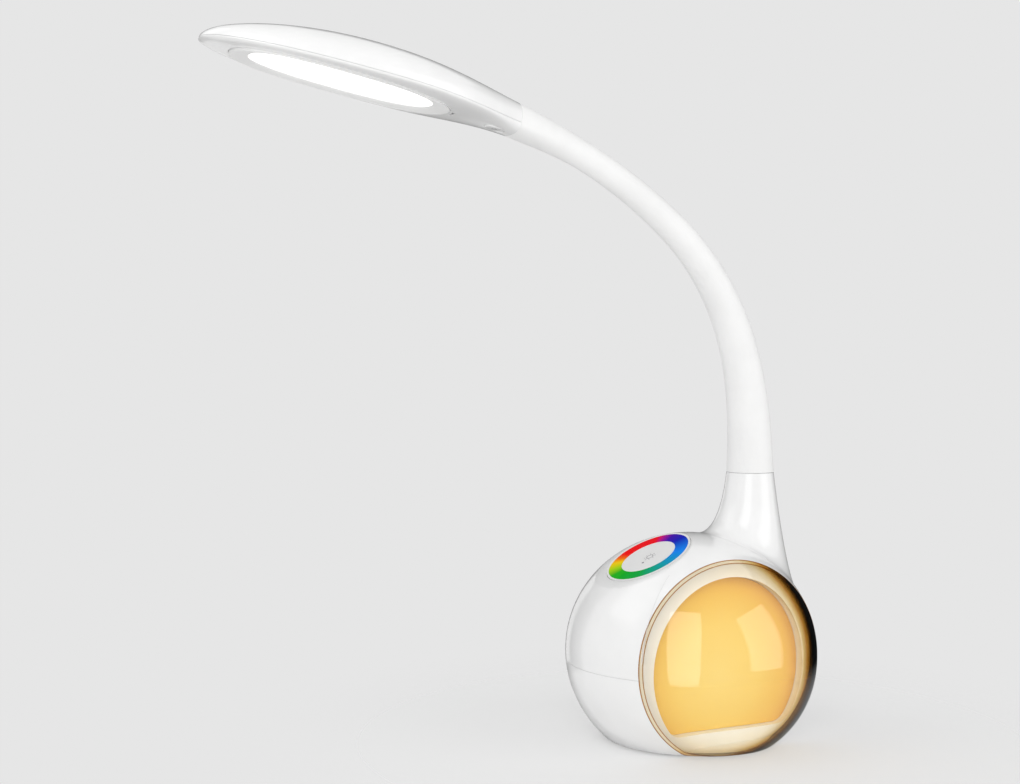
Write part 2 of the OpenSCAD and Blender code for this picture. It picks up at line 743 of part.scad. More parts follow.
// The last sleeve piece flattens into the head's root and widens round the ferrule.
module sleeve_5() {
    j = len(joint_s) - 1;
    inner = core_r + core_slack;
    pocket_r = ferrule_r + core_slack;
    s0 = joint_s[j] + past_joint(j, sleeve_r(joint_s[j]), joint_gap);
    color("#f4f4f2") ring_loft(concat(
        cap_rings(j, inner, sleeve_r(joint_s[j]), joint_gap, 3, sleeve_sides),
        [for (i = [1:10]) root_ring(mix(s0, neck_len, i / 10), ease(i / 10))],
        [neck_ring(head_root(), 0, pocket_r, sleeve_sides)],
        [neck_ring(neck_at(pocket_s), 0, pocket_r, sleeve_sides)],
        [neck_ring(neck_at(pocket_s), 0, inner, sleeve_sides)],
        [for (i = [1:3]) neck_ring(neck_at(mix(pocket_s, s0, i / 4)), 0, inner, sleeve_sides)]), true);
}

function on_drop(place, drop) =
    [place[0] - drop * cos(place[2]), place[1] - drop * sin(place[2]), place[2]];

// The neck's end, turned into the head's seam plane.
function head_root() = let (e = neck_at(neck_len)) [e[0], e[1], 90 - head_pitch];

// ---------- head ----------

head_root_w = 10.4;
head_root_t = 11;
head_root_b = 5;
root_drop = 3;
head_belly = 2.6;
head_rise = 7;
head_power = 2.3;
tip_power = 2.2;
tip_top_power = 6.5;
tip_low_power = 8;
widest_x = 66.5;
head_rows = 24;
seam_gap = 0.05;
head_cols = 18;

module head_frame() {
    s = on_drop(head_root(), root_drop);
    translate([s[0], 0, s[1]]) rotate([0, head_pitch, 0]) rotate([0, 0, 180]) children();
}

// Share of the head's length at x, from the neck seam, 0, to the tip, 1.
function head_share(x) = max(0, min(1, x / head_len));

function head_half_w(x) = x < widest_x
    ? mix(head_root_w, head_w / 2, pow(sin(90 * max(0, x) / widest_x), 1.13))
    : head_w / 2 * pow(max(0, 1 - pow((x - widest_x) / (head_len - widest_x), tip_power)), 1 / tip_power);
function head_top(x) = (head_root_t + head_rise * sin(180 * head_share(x)))
    * sqrt(max(0, 1 - pow(head_share(x), tip_top_power)));
function head_bottom(x) = (head_belly + (head_root_b - head_belly) * pow(1 - min(1, max(0, x) / 30), 2))
    * sqrt(max(0, 1 - pow(head_share(x), tip_low_power)));

// Half of the head, above or below its edge, from x0 to x1, moved in by inset.
module head_half(upper, x0, x1, inset, floor_inset = 0) {
    ring_loft([for (k = [0:head_rows])
        let (x = x0 + (x1 - x0) * sin(90 * k / head_rows) * 0.9995,
            w = max(0.2, head_half_w(x) - inset),
            h = max(0.2, (upper ? head_top(x) : head_bottom(x)) - (upper ? inset : floor_inset)))
        [for (i = [0:head_cols])
            let (a = (upper ? 180 - 180 * i / head_cols : -180 * i / head_cols),
                c = signed_pow(cos(a), 2 / head_power), s = signed_pow(sin(a), 2 / (upper ? head_power : 3)))
            [x, -w * c, h * s]]]);
}

module oval(half_l, half_w, power = 2.4, sides = 56) {
    polygon(oval_points(half_l, half_w, power, sides));
}

function oval_points(half_l, half_w, power = 2.4, sides = 56) = [for (i = [0:sides - 1])
    let (a = 360 * i / sides)
    [half_l * signed_pow(cos(a), 2 / power), half_w * signed_pow(sin(a), 2 / power)]];

spreader_z = 7.2;
spreader_t = 1.2;
head_boss_r = 2.6;
head_screw_l = 7;
spreader_post = [31.5, 11];

module spreader_corners() {
    for (x = [-1, 1], y = [-1, 1])
        translate([light_x + x * spreader_post[0], y * spreader_post[1], 0]) children();
}

bracket_z = root_drop + 4.1;
bracket_t = 1.6;
bracket_half_w = 3.5;
bracket_hole_x = 20;

module head_top_shell() {
    color("white") head_frame() difference() {
        union() {
            difference() {
                head_half(true, seam_gap, head_len, 0);
                translate([0, 0, -0.01]) head_half(true, -1, head_len - head_wall - 0.4, head_wall);
            }
            intersection() {
                head_half(true, seam_gap, head_len, head_wall / 2);
                union() {
                    spreader_corners() translate([0, 0, spreader_z + spreader_t])
                        cylinder(r = head_boss_r, h = far, $fn = 32);
                    translate([bracket_hole_x, 0, bracket_z + bracket_t])
                        cylinder(r = head_boss_r + 0.4, h = far, $fn = 32);
                }
            }
        }
        spreader_corners() translate([0, 0, spreader_z]) cylinder(r = pilot_r, h = head_screw_l, $fn = 24);
        translate([bracket_hole_x, 0, bracket_z]) cylinder(r = pilot_r, h = 6, $fn = 24);
    }
}

floor_t = 1.6;
button_x = 9;
button_gap = 0.15;
flange_w = 1.4;
button_flange_t = 0.5;
button_proud = 0.3;
cover_posts = [[5, 5.8], [16.5, 5.8]];
button_board_z = 0.6;
button_board_x = 3.2;
button_floor = floor_t - head_bottom(button_x);

module stadium(l, w) {
    hull() for (x = [-1, 1]) translate([x * (l - w) / 2, 0]) circle(d = w, $fn = 48);
}

module head_bottom_cover() {
    pad_l = button_l + flange_w + 1;
    pad_w = button_w + flange_w + 1;
    color("whitesmoke") head_frame() difference() {
        union() {
            difference() {
                head_half(false, seam_gap, head_len, 0);
                difference() {
                    translate([0, 0, 0.01]) head_half(false, -1, head_len - 3, head_wall + 0.6, floor_t);
                    translate([button_x - pad_l / 2 - 0.4, -pad_w / 2 - 1, button_floor - 10])
                        cube([pad_l + 0.8, pad_w + 2, 10]);
                }
            }
            intersection() {
                head_half(false, seam_gap, head_len, 0.5, 0.5);
                translate([light_x, 0, -6]) linear_extrude(6) oval(light_half_l + 2, light_half_w + 2);
            }
            for (post = cover_posts, y = [-1, 1])
                translate([post[0], y * post[1], -3]) cylinder(r = 1.2, h = 3 + button_board_z, $fn = 24);
        }
        translate([light_x, 0, -10]) linear_extrude(20) oval(light_half_l, light_half_w);
        translate([button_x, 0, -10]) linear_extrude(20)
            stadium(button_l + 2 * button_gap, button_w + 2 * button_gap);
        translate([button_x - pad_l / 2, -button_w / 2 - flange_w / 2 - 0.1, button_floor])
            cube([pad_l, button_w + flange_w + 0.2, 3]);
        translate([light_x - light_half_l - slit_gap, -slit_half_w, -10]) cube([slit_l, 2 * slit_half_w, 20]);
    }
}

slit_gap = 3.4;
slit_l = 1.5;
slit_half_w = 2.2;

module head_button() {
    low = head_bottom(button_x) + button_proud;
    color("white") head_frame() translate([button_x, 0, 0]) {
        translate([0, 0, -low]) linear_extrude(low + button_floor + 0.1 + button_flange_t / 2)
            stadium(button_l, button_w);
        translate([0, 0, button_floor + 0.1]) linear_extrude(button_flange_t)
            stadium(button_l + flange_w, button_w + flange_w);
    }
}

module button_board() {
    color("#1c6b3c") head_frame() translate([button_board_x, -7, button_board_z]) cube([16, 14, 1]);
}

switch_half = 2.2;
plunger_h = 0.5;

module button_switch() {
    top = button_floor + 0.1 + button_flange_t + button_travel + 0.1;
    color("#202020") head_frame() translate([button_x, 0, 0]) {
        translate([-switch_half, -switch_half, top + plunger_h])
            cube([2 * switch_half, 2 * switch_half, button_board_z - top - plunger_h]);
        translate([0, 0, top]) cylinder(r = 1.2, h = plunger_h + 0.3, $fn = 32);
    }
}

frame_lip = 0.5;
seat_z = -1.3;
ledge_z = -1.9;
frame_top_z = 0.6;
lamp_inset = 7;
seat_inset = lamp_inset + 0.6;
hole_inset = lamp_inset + 2.2;

// The light's oval outline moved in by inset, which is smaller across than along.
function light_points(inset) = oval_points(light_half_l - inset, light_half_w - inset * 0.5);

module light_plate(inset) {
    polygon(light_points(inset));
}

// The oval frame round the light: its wall slopes in from the underside to the diffuser.
module light_frame() {
    low = -head_belly - frame_lip;
    rows = [[fit_gap, low], [fit_gap, frame_top_z], [seat_inset, frame_top_z], [seat_inset, seat_z],
        [hole_inset, seat_z], [hole_inset, ledge_z], [fit_gap + 1, low - 0.01]];
    color("white") head_frame() translate([light_x, 0, 0])
        ring_loft([for (row = rows) [for (p = light_points(row[0])) [p[0], p[1], row[1]]]], true);
}

module light_diffuser() {
    color("#fffdf4") head_frame() translate([light_x, 0, seat_z]) linear_extrude(1.6)
        light_plate(seat_inset + fit_gap);
}

module head_reflector() {
    color("white") head_frame() translate([light_x, 0, frame_top_z])
        linear_extrude(led_board_z - frame_top_z) difference() {
            light_plate(lamp_inset);
            light_plate(lamp_inset + 1.4);
        }
}

led_board_t = 1.2;
led_board_z = spreader_z - led_board_t;

module head_led_board() {
    color("#e8ece8") head_frame() difference() {
        translate([light_x, 0, led_board_z]) linear_extrude(led_board_t) light_plate(lamp_inset);
        spreader_corners() translate([0, 0, led_board_z - 1]) cylinder(r = pilot_r, h = 3, $fn = 24);
    }
}

module head_leds() {
    color("lemonchiffon") head_frame() for (x = [-4.5:4.5], y = [-1, 1])
        translate([light_x + x * 9 - 1.5, y * (abs(x) > 4 ? 3.5 : 6) - 1.5, led_board_z - 0.7])
            cube([3, 3, 0.7]);
}

module heat_spreader() {
    color("silver") head_frame() difference() {
        translate([light_x, 0, spreader_z]) linear_extrude(spreader_t) light_plate(lamp_inset + 2);
        spreader_corners() translate([0, 0, spreader_z - 1]) cylinder(r = pilot_r, h = 4, $fn = 24);
    }
}

module spreader_screws() {
    color("silver") head_frame()
        spreader_corners() translate([0, 0, led_board_z]) pan_screw(1, head_screw_l, 1.9, 1);
}

module ferrule_frame() {
    end = neck_at(neck_len);
    translate([end[0], 0, end[1]]) rotate([0, -end[2], 0]) children();
}

module upper_ferrule() {
    color("silver") difference() {
        union() {
            ferrule_frame() translate([0, 0, -ferrule_len])
                cylinder(r = ferrule_r, h = ferrule_len + ferrule_past, $fn = 56);
            head_frame() translate([0.1, -bracket_half_w, bracket_z])
                cube([bracket_hole_x + 3.9, 2 * bracket_half_w, bracket_t]);
        }
        ferrule_frame() translate([0, 0, -30]) cylinder(r = core_r + slack, h = 40, $fn = 40);
        head_frame() translate([bracket_hole_x, 0, bracket_z - 1]) cylinder(r = pilot_r, h = 4, $fn = 24);
    }
}

module bracket_screw() {
    color("silver") head_frame() translate([bracket_hole_x, 0, bracket_z]) pan_screw(1, 5.5, 1.9, 1);
}

module head_lead() {
    end_x = light_x - light_half_l + lamp_inset - 0.1;
    color("#303030") head_frame() lead([0.1, 0, root_drop], [end_x / 3, 0, root_drop + 0.3],
        [end_x * 0.64, 0, root_drop + 0.1], [end_x, 0, led_board_z + led_board_t / 2], head_lead_r, 14, [0, 1, 0], 8);
}

head_lead_r = 1.1;

module sleeve_1() { sleeve_piece(1); }
module sleeve_2() { sleeve_piece(2); }
module sleeve_3() { sleeve_piece(3); }
module sleeve_4() { sleeve_piece(4); }
module core_0() { core_piece(0); }
module core_1() { core_piece(1); }
module core_2() { core_piece(2); }
module core_3() { core_piece(3); }
module core_4() { core_piece(4); }
module core_5() { core_piece(5); }
module lead_0() { lead_piece(0); }
module lead_1() { lead_piece(1); }
module lead_2() { lead_piece(2); }
module lead_3() { lead_piece(3); }
module lead_4() { lead_piece(4); }
module lead_5() { lead_piece(5); }

lower_shell();
upper_shell();
base_plate();
rubber_pad();
base_screws();
shell_screws();
ballast_weight();
control_board();
control_parts();
board_screws();
power_inlet();
inlet_pin();
mood_dome();
mood_diffuser();
light_tray();
mood_led_board();
mood_leds();
mood_lead();
touch_panel();
colour_ring();
touch_board();
touch_lead();
neck_socket();
neck_nut();
base_lead();
sleeve_0();
core_0();
lead_0();
sleeve_1();
core_1();
lead_1();
sleeve_2();
core_2();
lead_2();
sleeve_3();
core_3();
lead_3();
sleeve_4();
core_4();
lead_4();
sleeve_5();
core_5();
lead_5();
upper_ferrule();
bracket_screw();
head_top_shell();
head_bottom_cover();
light_frame();
light_diffuser();
head_reflector();
head_led_board();
head_leds();
heat_spreader();
spreader_screws();
head_lead();
head_button();
button_board();
button_switch();
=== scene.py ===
# %% [markdown]
# # A desk lamp with a mood light in its base
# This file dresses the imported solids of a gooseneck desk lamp. The lamp has a white ball-shaped base
# with a clear dome on its front, a touch field with a ring of colours on its shoulder, a soft bent
# neck, and a slim head with an oval light below it. The solids are in metres, so every shape here is
# worked out in millimetres, where its sizes are easy to read, and brought to metres when its mesh
# is made.

# %% Load the frame
import bpy
import bmesh
import numpy as np
from mathutils import Matrix, Vector


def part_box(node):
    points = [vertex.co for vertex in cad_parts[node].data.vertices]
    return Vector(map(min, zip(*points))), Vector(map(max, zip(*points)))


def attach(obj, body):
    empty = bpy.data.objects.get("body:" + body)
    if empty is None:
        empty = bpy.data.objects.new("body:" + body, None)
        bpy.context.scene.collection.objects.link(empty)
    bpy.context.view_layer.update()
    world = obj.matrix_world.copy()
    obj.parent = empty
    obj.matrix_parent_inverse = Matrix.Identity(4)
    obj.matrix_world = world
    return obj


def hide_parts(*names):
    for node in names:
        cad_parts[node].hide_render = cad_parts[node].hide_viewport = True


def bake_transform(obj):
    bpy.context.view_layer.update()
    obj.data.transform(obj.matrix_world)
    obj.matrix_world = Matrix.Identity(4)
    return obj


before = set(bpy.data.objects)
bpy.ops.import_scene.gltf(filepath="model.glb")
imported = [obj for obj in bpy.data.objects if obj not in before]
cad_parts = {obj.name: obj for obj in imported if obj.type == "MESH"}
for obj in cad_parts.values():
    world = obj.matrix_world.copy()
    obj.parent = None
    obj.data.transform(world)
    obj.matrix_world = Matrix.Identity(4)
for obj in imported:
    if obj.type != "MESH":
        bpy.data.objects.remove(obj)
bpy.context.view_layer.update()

# %% [markdown]
# ## From numbers to meshes
# A curved shape is a grid of points: one direction runs along it and the other across it. Four
# neighbours make one face. A grid that closes on itself, such as a tube, also joins its last column
# to its first.

# %% Grids of points and their faces
MM = 0.001


def grid_faces(rows, cols, loop_rows=False, loop_cols=False, start=0):
    """Faces of a grid of points: (r, c), (r, c+1), (r+1, c+1), (r+1, c), with wrapping where asked."""
    r, c = np.meshgrid(np.arange(rows if loop_rows else rows - 1),
                       np.arange(cols if loop_cols else cols - 1), indexing="ij")
    r1, c1 = (r + 1) % rows, (c + 1) % cols
    corners = [r * cols + c, r * cols + c1, r1 * cols + c1, r1 * cols + c]
    return start + np.stack(corners, -1).reshape(-1, 4)


def make_mesh(name, points, faces):
    """A mesh from points in millimetres and faces of four. Doubled points merge, so poles and
    seams close, and a closed mesh whose volume comes out negative is turned face by face."""
    mesh = bpy.data.meshes.new(name)
    mesh.vertices.add(len(points))
    mesh.vertices.foreach_set("co", (np.asarray(points, float) * MM).astype(np.float32).ravel())
    mesh.loops.add(faces.size)
    mesh.loops.foreach_set("vertex_index", faces.ravel().astype(np.int32))
    mesh.polygons.add(len(faces))
    mesh.polygons.foreach_set("loop_start", np.arange(0, faces.size, 4, dtype=np.int32))
    mesh.update(calc_edges=True)
    mesh.validate()
    shape = bmesh.new()
    shape.from_mesh(mesh)
    bmesh.ops.remove_doubles(shape, verts=shape.verts, dist=2e-6)
    bmesh.ops.dissolve_degenerate(shape, edges=shape.edges, dist=1e-7)
    if shape.calc_volume(signed=True) < 0:
        bmesh.ops.reverse_faces(shape, faces=shape.faces)
    shape.to_mesh(mesh)
    shape.free()
    return mesh


def xyz(x, y, z):
    """Points from their three coordinates, each a number or an array, stretched to one shape."""
    return np.stack(np.broadcast_arrays(x, y, z), -1)


def joined_mesh(name, grids, loop_rows=False, loop_cols=True):
    """One mesh from several grids of points."""
    points, faces, start = [], [], 0
    for grid in grids:
        rows, cols = grid.shape[:2]
        points.append(grid.reshape(-1, 3))
        faces.append(grid_faces(rows, cols, loop_rows, loop_cols, start))
        start += rows * cols
    return make_mesh(name, np.concatenate(points), np.concatenate(faces))


def block_mesh(name, points, loop_rows=False):
    """A closed mesh from rings of points. Its end rings close by themselves, or meet each other."""
    return joined_mesh(name, [points], loop_rows)


def tube_mesh(name, outer, inner):
    """A closed wall: the outer rings in order, then the inner rings back, joined at both ends."""
    return block_mesh(name, np.concatenate([outer, inner[::-1]]), True)


def sheet_mesh(name, outer, inner, loop_cols=False):
    """A thick sheet: two grids of the same shape, and a strip along each open side."""
    rows, cols = outer.shape[:2]
    size = rows * cols
    index = np.arange(size).reshape(rows, cols)
    sides = [index[0], index[-1][::-1]]
    if not loop_cols:
        sides += [index[::-1, 0], index[:, -1]]
    else:
        sides = [np.append(s, s[0]) for s in sides]
    strips = [np.stack([s[:-1], s[:-1] + size, s[1:] + size, s[1:]], -1) for s in sides]
    front = grid_faces(rows, cols, False, loop_cols)
    back = grid_faces(rows, cols, False, loop_cols, size)[:, ::-1]
    points = np.concatenate([outer.reshape(-1, 3), inner.reshape(-1, 3)])
    return make_mesh(name, points, np.concatenate([front, back] + strips))


# %% [markdown]
# ## From meshes to pieces
# A piece is an object that rides on one body of the frame. Moulded plastic has small rounded edges
# that catch the light, so most pieces get a Bevel modifier. It rounds only edges that are sharper
# than 40 degrees. Everything else shades smoothly.

# %% Pieces, rounded edges and cuts
def new_object(name, data):
    """An object that holds the given data, linked to the scene."""
    made = bpy.data.objects.new(name, data)
    bpy.context.scene.collection.objects.link(made)
    return made


def finish_piece(mesh, body, material, replaces=(), edge=0.0, sharp=16):
    """Puts a mesh in the scene as a piece: smooth below the sharp angle, with its edges rounded."""
    piece = new_object(mesh.name, mesh)
    mesh.materials.clear()
    mesh.materials.append(material)
    mesh.shade_smooth()
    mesh.set_sharp_from_angle(angle=np.radians(sharp))
    if edge:
        bevel = piece.modifiers.new("rounded edges", "BEVEL")
        bevel.width = edge * MM
        bevel.segments = 2
        bevel.limit_method = "ANGLE"
        bevel.angle_limit = np.radians(40)
    if isinstance(body, tuple):
        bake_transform(piece)
    else:
        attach(piece, body)
    if replaces:
        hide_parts(*replaces)
    print(f"{mesh.name}: {len(mesh.polygons)} faces")


def cut_mesh(mesh, *cutters):
    """The mesh with other closed meshes taken out of it, by the exact Boolean, as a plain mesh."""
    body = new_object("body", mesh)
    tools = [new_object("cutter", cutter) for cutter in cutters]
    for tool in tools:
        cut = body.modifiers.new("cut", "BOOLEAN")
        cut.operation, cut.solver, cut.object = "DIFFERENCE", "EXACT", tool
    bpy.context.view_layer.update()
    seen = body.evaluated_get(bpy.context.evaluated_depsgraph_get())
    result = bpy.data.meshes.new_from_object(seen)
    result.name = mesh.name
    for thing in [body] + tools:
        bpy.data.objects.remove(thing)
    return result


def turned(profile, sides=96):
    """Points of a lathed solid: the closed profile [(radius, height), ...] swept round the Z axis."""
    r, z = np.asarray(profile, float).T[..., None]
    a = np.linspace(0, 2 * np.pi, sides, endpoint=False)
    return xyz(r * np.cos(a), r * np.sin(a), z)


def prism(outline, low, high):
    """Points of a closed block with the given outline, [(x, y), ...], between two heights."""
    x, y = np.asarray(outline, float).T
    shares = np.array([0.0, 1.0, 1.0, 0.0])[:, None]
    heights = np.array([low, low, high, high], float)[:, None]
    return xyz(mix(x.mean(), x, shares), mix(y.mean(), y, shares), heights)


def mix(a, b, share):
    """The value that lies the given share of the way from a to b."""
    return a + (b - a) * share


def ease(u):
    """A smooth step from 0 to 1."""
    v = np.clip(u, 0, 1)
    return v * v * (3 - 2 * v)


def signed_pow(v, p):
    """A power that keeps its sign, for superellipse sections."""
    return np.sign(v) * np.abs(v) ** p


# %% [markdown]
# ## The camera
# The camera stands where the photograph was taken from, a little left of the front and just above
# the desk. Its three directions were fitted to the outlines of the base, and they go straight into
# its matrix: the camera looks along its own -Z.

# %% Camera
view_from = Vector((-0.4418, -0.6486, 0.1949))
ahead = Vector((0.4600, 0.8877, -0.0201)).normalized()
right = ahead.cross(Vector((0, 0, 1))).normalized()
upward = right.cross(ahead)
camera = new_object("camera", bpy.data.cameras.new("camera"))
camera.data.lens, camera.data.sensor_width = 52.94, 36.0
camera.data.clip_start, camera.data.clip_end = 0.01, 50
camera.matrix_world = Matrix.Translation(view_from) @ Matrix((right, upward, -ahead)).transposed().to_4x4()
bpy.context.scene.camera = camera
print("camera at", [round(v, 3) for v in view_from])

# %% [markdown]
# ## Finishes
# Each finish is a small node tree round the Principled shader. Real moulded plastic isn't quite
# even: its colour drifts a little, its gloss varies, and its skin has a faint ripple from the
# mould. Noise textures on Object coordinates give all three. They stay fixed to the part, and their
# scale is per metre: 400 makes spots about 2.5 mm wide.

# %% Helpers for node trees
def feed(node, socket, value):
    """Gives a node's socket, by label or number, a constant or another node's output."""
    target = node.inputs[socket]
    if isinstance(value, bpy.types.NodeSocket):
        node.id_data.links.new(value, target)
    else:
        target.default_value = value


def new_finish(name, **sockets):
    """A material with one Principled shader, whose own sockets take the constant values."""
    material = bpy.data.materials.new(name)
    material.use_nodes = True
    shader = material.node_tree.nodes["Principled BSDF"]
    for socket, value in sockets.items():
        feed(shader, socket.replace("_", " "), value)
    return material, material.node_tree, shader


def add_node(tree, kind, *values, **settings):
    """A node of the given kind. Values feed its sockets in their order, and settings go by name to
    its properties or by label to its sockets."""
    made = tree.nodes.new("ShaderNode" + kind)
    for key, value in settings.items():
        if hasattr(made, key):
            setattr(made, key, value)
        else:
            feed(made, key.replace("_", " "), value)
    for k, value in enumerate(values):
        feed(made, k, value)
    return made


def mix_to(output, share, first, second):
    """Sends a mix of two shaders to an output node."""
    both = add_node(output.id_data, "MixShader", share, first.outputs[0], second.outputs[0])
    feed(output, "Surface", both.outputs[0])


def object_noise(tree, scale, detail):
    """The value of a noise texture that is fixed to the object."""
    place = add_node(tree, "TexCoord").outputs["Object"]
    return add_node(tree, "TexNoise", Vector=place, Scale=scale, Detail=detail).outputs["Fac"]


def add_ripple(tree, shader, strength, height):
    """Ripples a shader's surface by a height, with a bump of at most 1 mm."""
    bump = add_node(tree, "Bump", Strength=strength, Distance=MM, Height=height)
    feed(shader, "Normal", bump.outputs["Normal"])


def ramp(tree, value, stops, interpolation="LINEAR"):
    """A colour ramp over a value, from [(place, colour), ...]."""
    made = add_node(tree, "ValToRGB", value)
    made.color_ramp.interpolation = interpolation
    marks = made.color_ramp.elements
    while len(marks) < len(stops):
        marks.new(0.5)
    for mark, (place, colour) in zip(marks, stops):
        mark.position = place
        mark.color = (*colour, 1)
    return made.outputs["Color"]


def grey(v):
    """A grey as a colour."""
    return (v, v, v)


def moulded(name, low, high, rough=(0.25, 0.32), ripple=0.02, grain=420, wear=60, **sockets):
    """Moulded plastic: colour drifts between two tones, gloss between two values, skin ripples."""
    material, tree, shader = new_finish(name, **sockets)
    feed(shader, "Base Color", ramp(tree, object_noise(tree, wear, 3), [(0.35, low), (0.65, high)]))
    gloss = ramp(tree, object_noise(tree, wear * 4, 4), [(0.3, grey(rough[0])), (0.7, grey(rough[1]))])
    feed(shader, "Roughness", gloss)
    add_ripple(tree, shader, ripple, object_noise(tree, grain, 3))
    return material


# %% [markdown]
# The base and the head's top are glossy white. The neck is soft silicone, which is matte with a
# faint velvet sheen and a fine grain. The trim parts are satin.

# %% White finishes
white_gloss = moulded("white gloss", (0.87, 0.87, 0.868), (0.895, 0.895, 0.893), (0.14, 0.20), 0.012,
                      IOR=1.5, Coat_Weight=0.25, Coat_Roughness=0.06)
white_satin = moulded("white satin", (0.86, 0.86, 0.856), (0.885, 0.885, 0.88), (0.34, 0.42), 0.03, 900,
                      IOR=1.5)
silicone = moulded("white silicone", (0.85, 0.85, 0.846), (0.88, 0.88, 0.876), (0.50, 0.60), 0.05, 1500,
                   IOR=1.43, Sheen_Weight=0.12, Sheen_Roughness=0.5)
print("white finishes:", white_gloss.name, white_satin.name, silicone.name)

# %% [markdown]
# Behind the skin sit darker parts, such as the jack, the rubber foot and the boards, which are seen
# from below or through a gap.

# %% Dark, metal and board finishes
# Each row gives the slot, the name, the darker and the lighter tone, the gloss, the ripple and the
# grain. The metals have one more value, which is how metallic they are.
plain_looks = [
    ("dark_plastic", "dark plastic", (0.02, 0.02, 0.022), (0.03, 0.03, 0.032), (0.42, 0.55), 0.06, 1200),
    ("black_rubber", "black rubber", (0.012, 0.012, 0.012), (0.022, 0.022, 0.022), (0.70, 0.85), 0.15, 1800),
    ("black_parts", "black parts", (0.01, 0.01, 0.011), (0.018, 0.018, 0.019), (0.30, 0.40), 0.04, 1500),
    ("green_board", "board green", (0.01, 0.105, 0.045), (0.018, 0.15, 0.065), (0.28, 0.38), 0.05, 2400),
    ("white_board", "board white", (0.70, 0.70, 0.68), (0.78, 0.78, 0.76), (0.35, 0.45), 0.04, 2400),
    ("wire", "wire jacket", (0.018, 0.018, 0.019), (0.03, 0.03, 0.032), (0.45, 0.58), 0.06, 1500),
    ("led_phosphor", "led phosphor", (0.85, 0.62, 0.12), (0.92, 0.72, 0.20), (0.45, 0.60), 0.08, 3000)]
metal_looks = [
    (0.7, "iron", "cast iron", (0.06, 0.058, 0.055), (0.11, 0.105, 0.10), (0.55, 0.75), 0.35, 700),
    (1.0, "steel", "steel", (0.50, 0.50, 0.51), (0.60, 0.60, 0.61), (0.24, 0.38), 0.05, 2200),
    (1.0, "pin_metal", "plated pin", (0.62, 0.60, 0.55), (0.72, 0.70, 0.64), (0.16, 0.26), 0.03, 2600),
    (1.0, "cast_metal", "cast metal", (0.46, 0.46, 0.47), (0.56, 0.56, 0.57), (0.38, 0.52), 0.12, 1300)]
finishes = {slot: moulded(*look) for slot, *look in plain_looks}
for metallic, slot, *look in metal_looks:
    finishes[slot] = moulded(*look, Metallic=metallic)
print("dark, metal and board finishes:", len(finishes))

# %% [markdown]
# ## The white ball
# The base is a ball, 130 mm wide and a little flatter than it's wide. Its front is cut off by a
# plane, which is the window of the mood light, and a flare grows out of it to carry the neck. The
# upper half looks like one moulding, so the upper skin is one surface, swept round the neck's axis:
# down the flare on a curve, then on over the ball to the seam or the window.

# %% Sizes of the ball and the neck's foot
ball_r, half_h, centre_z = 65.0, 61.0, 45.0
seam_z, foot_z, window_y, wall = 40.5, 1.2, 35.6, 2.4
neck_x, collar_z, collar_r = 38.0, 136.4, 12.4
window_k = 1 - (window_y / ball_r) ** 2
window_w, window_h = ball_r * np.sqrt(window_k), half_h * np.sqrt(window_k)
print(f"the window is {2 * window_w:.1f} mm wide")


def ball_radius(z, inset=0.0):
    """Radius of the ball at a height: r sqrt(1 - ((z - centre) / half height)^2), moved in by inset."""
    return (ball_r - inset) * np.sqrt(np.clip(1 - ((z - centre_z) / (half_h - inset)) ** 2, 0, None))


def outward(points):
    """Unit normals of a grid whose columns close: the cross product of its differences along and
    across, turned away from the ball's middle."""
    n = np.cross(np.gradient(points, axis=0), np.roll(points, -1, 1) - np.roll(points, 1, 1))
    n /= np.linalg.norm(n, axis=-1, keepdims=True) + 1e-12
    away = points - np.array([0, 0, centre_z])
    return n * np.sign((n * away).sum(-1, keepdims=True).sum((0, 1), keepdims=True))


# %% [markdown]
# Each column of the upper skin is a vertical slice through the neck's axis. A slice of the ball is an
# ellipse, so the point where the slice ends, on the seam or on the window's edge, is known as an angle
# of that ellipse. The columns are chosen from those end points, so both edges come out exact.

# %% Points of the upper skin
def upper_edge():
    """The skin's lower edge: round the back on the seam, then over the top of the window."""
    seam_r = ball_radius(seam_z)
    corner = np.arcsin(window_y / seam_r)
    back = np.linspace(-corner, np.pi + corner, 210)
    over = np.radians(np.linspace(174.8, 5.2, 170))
    return np.concatenate([xyz(seam_r * np.cos(back), seam_r * np.sin(back), seam_z),
                           xyz(window_w * np.cos(over), -window_y, centre_z + window_h * np.sin(over))])


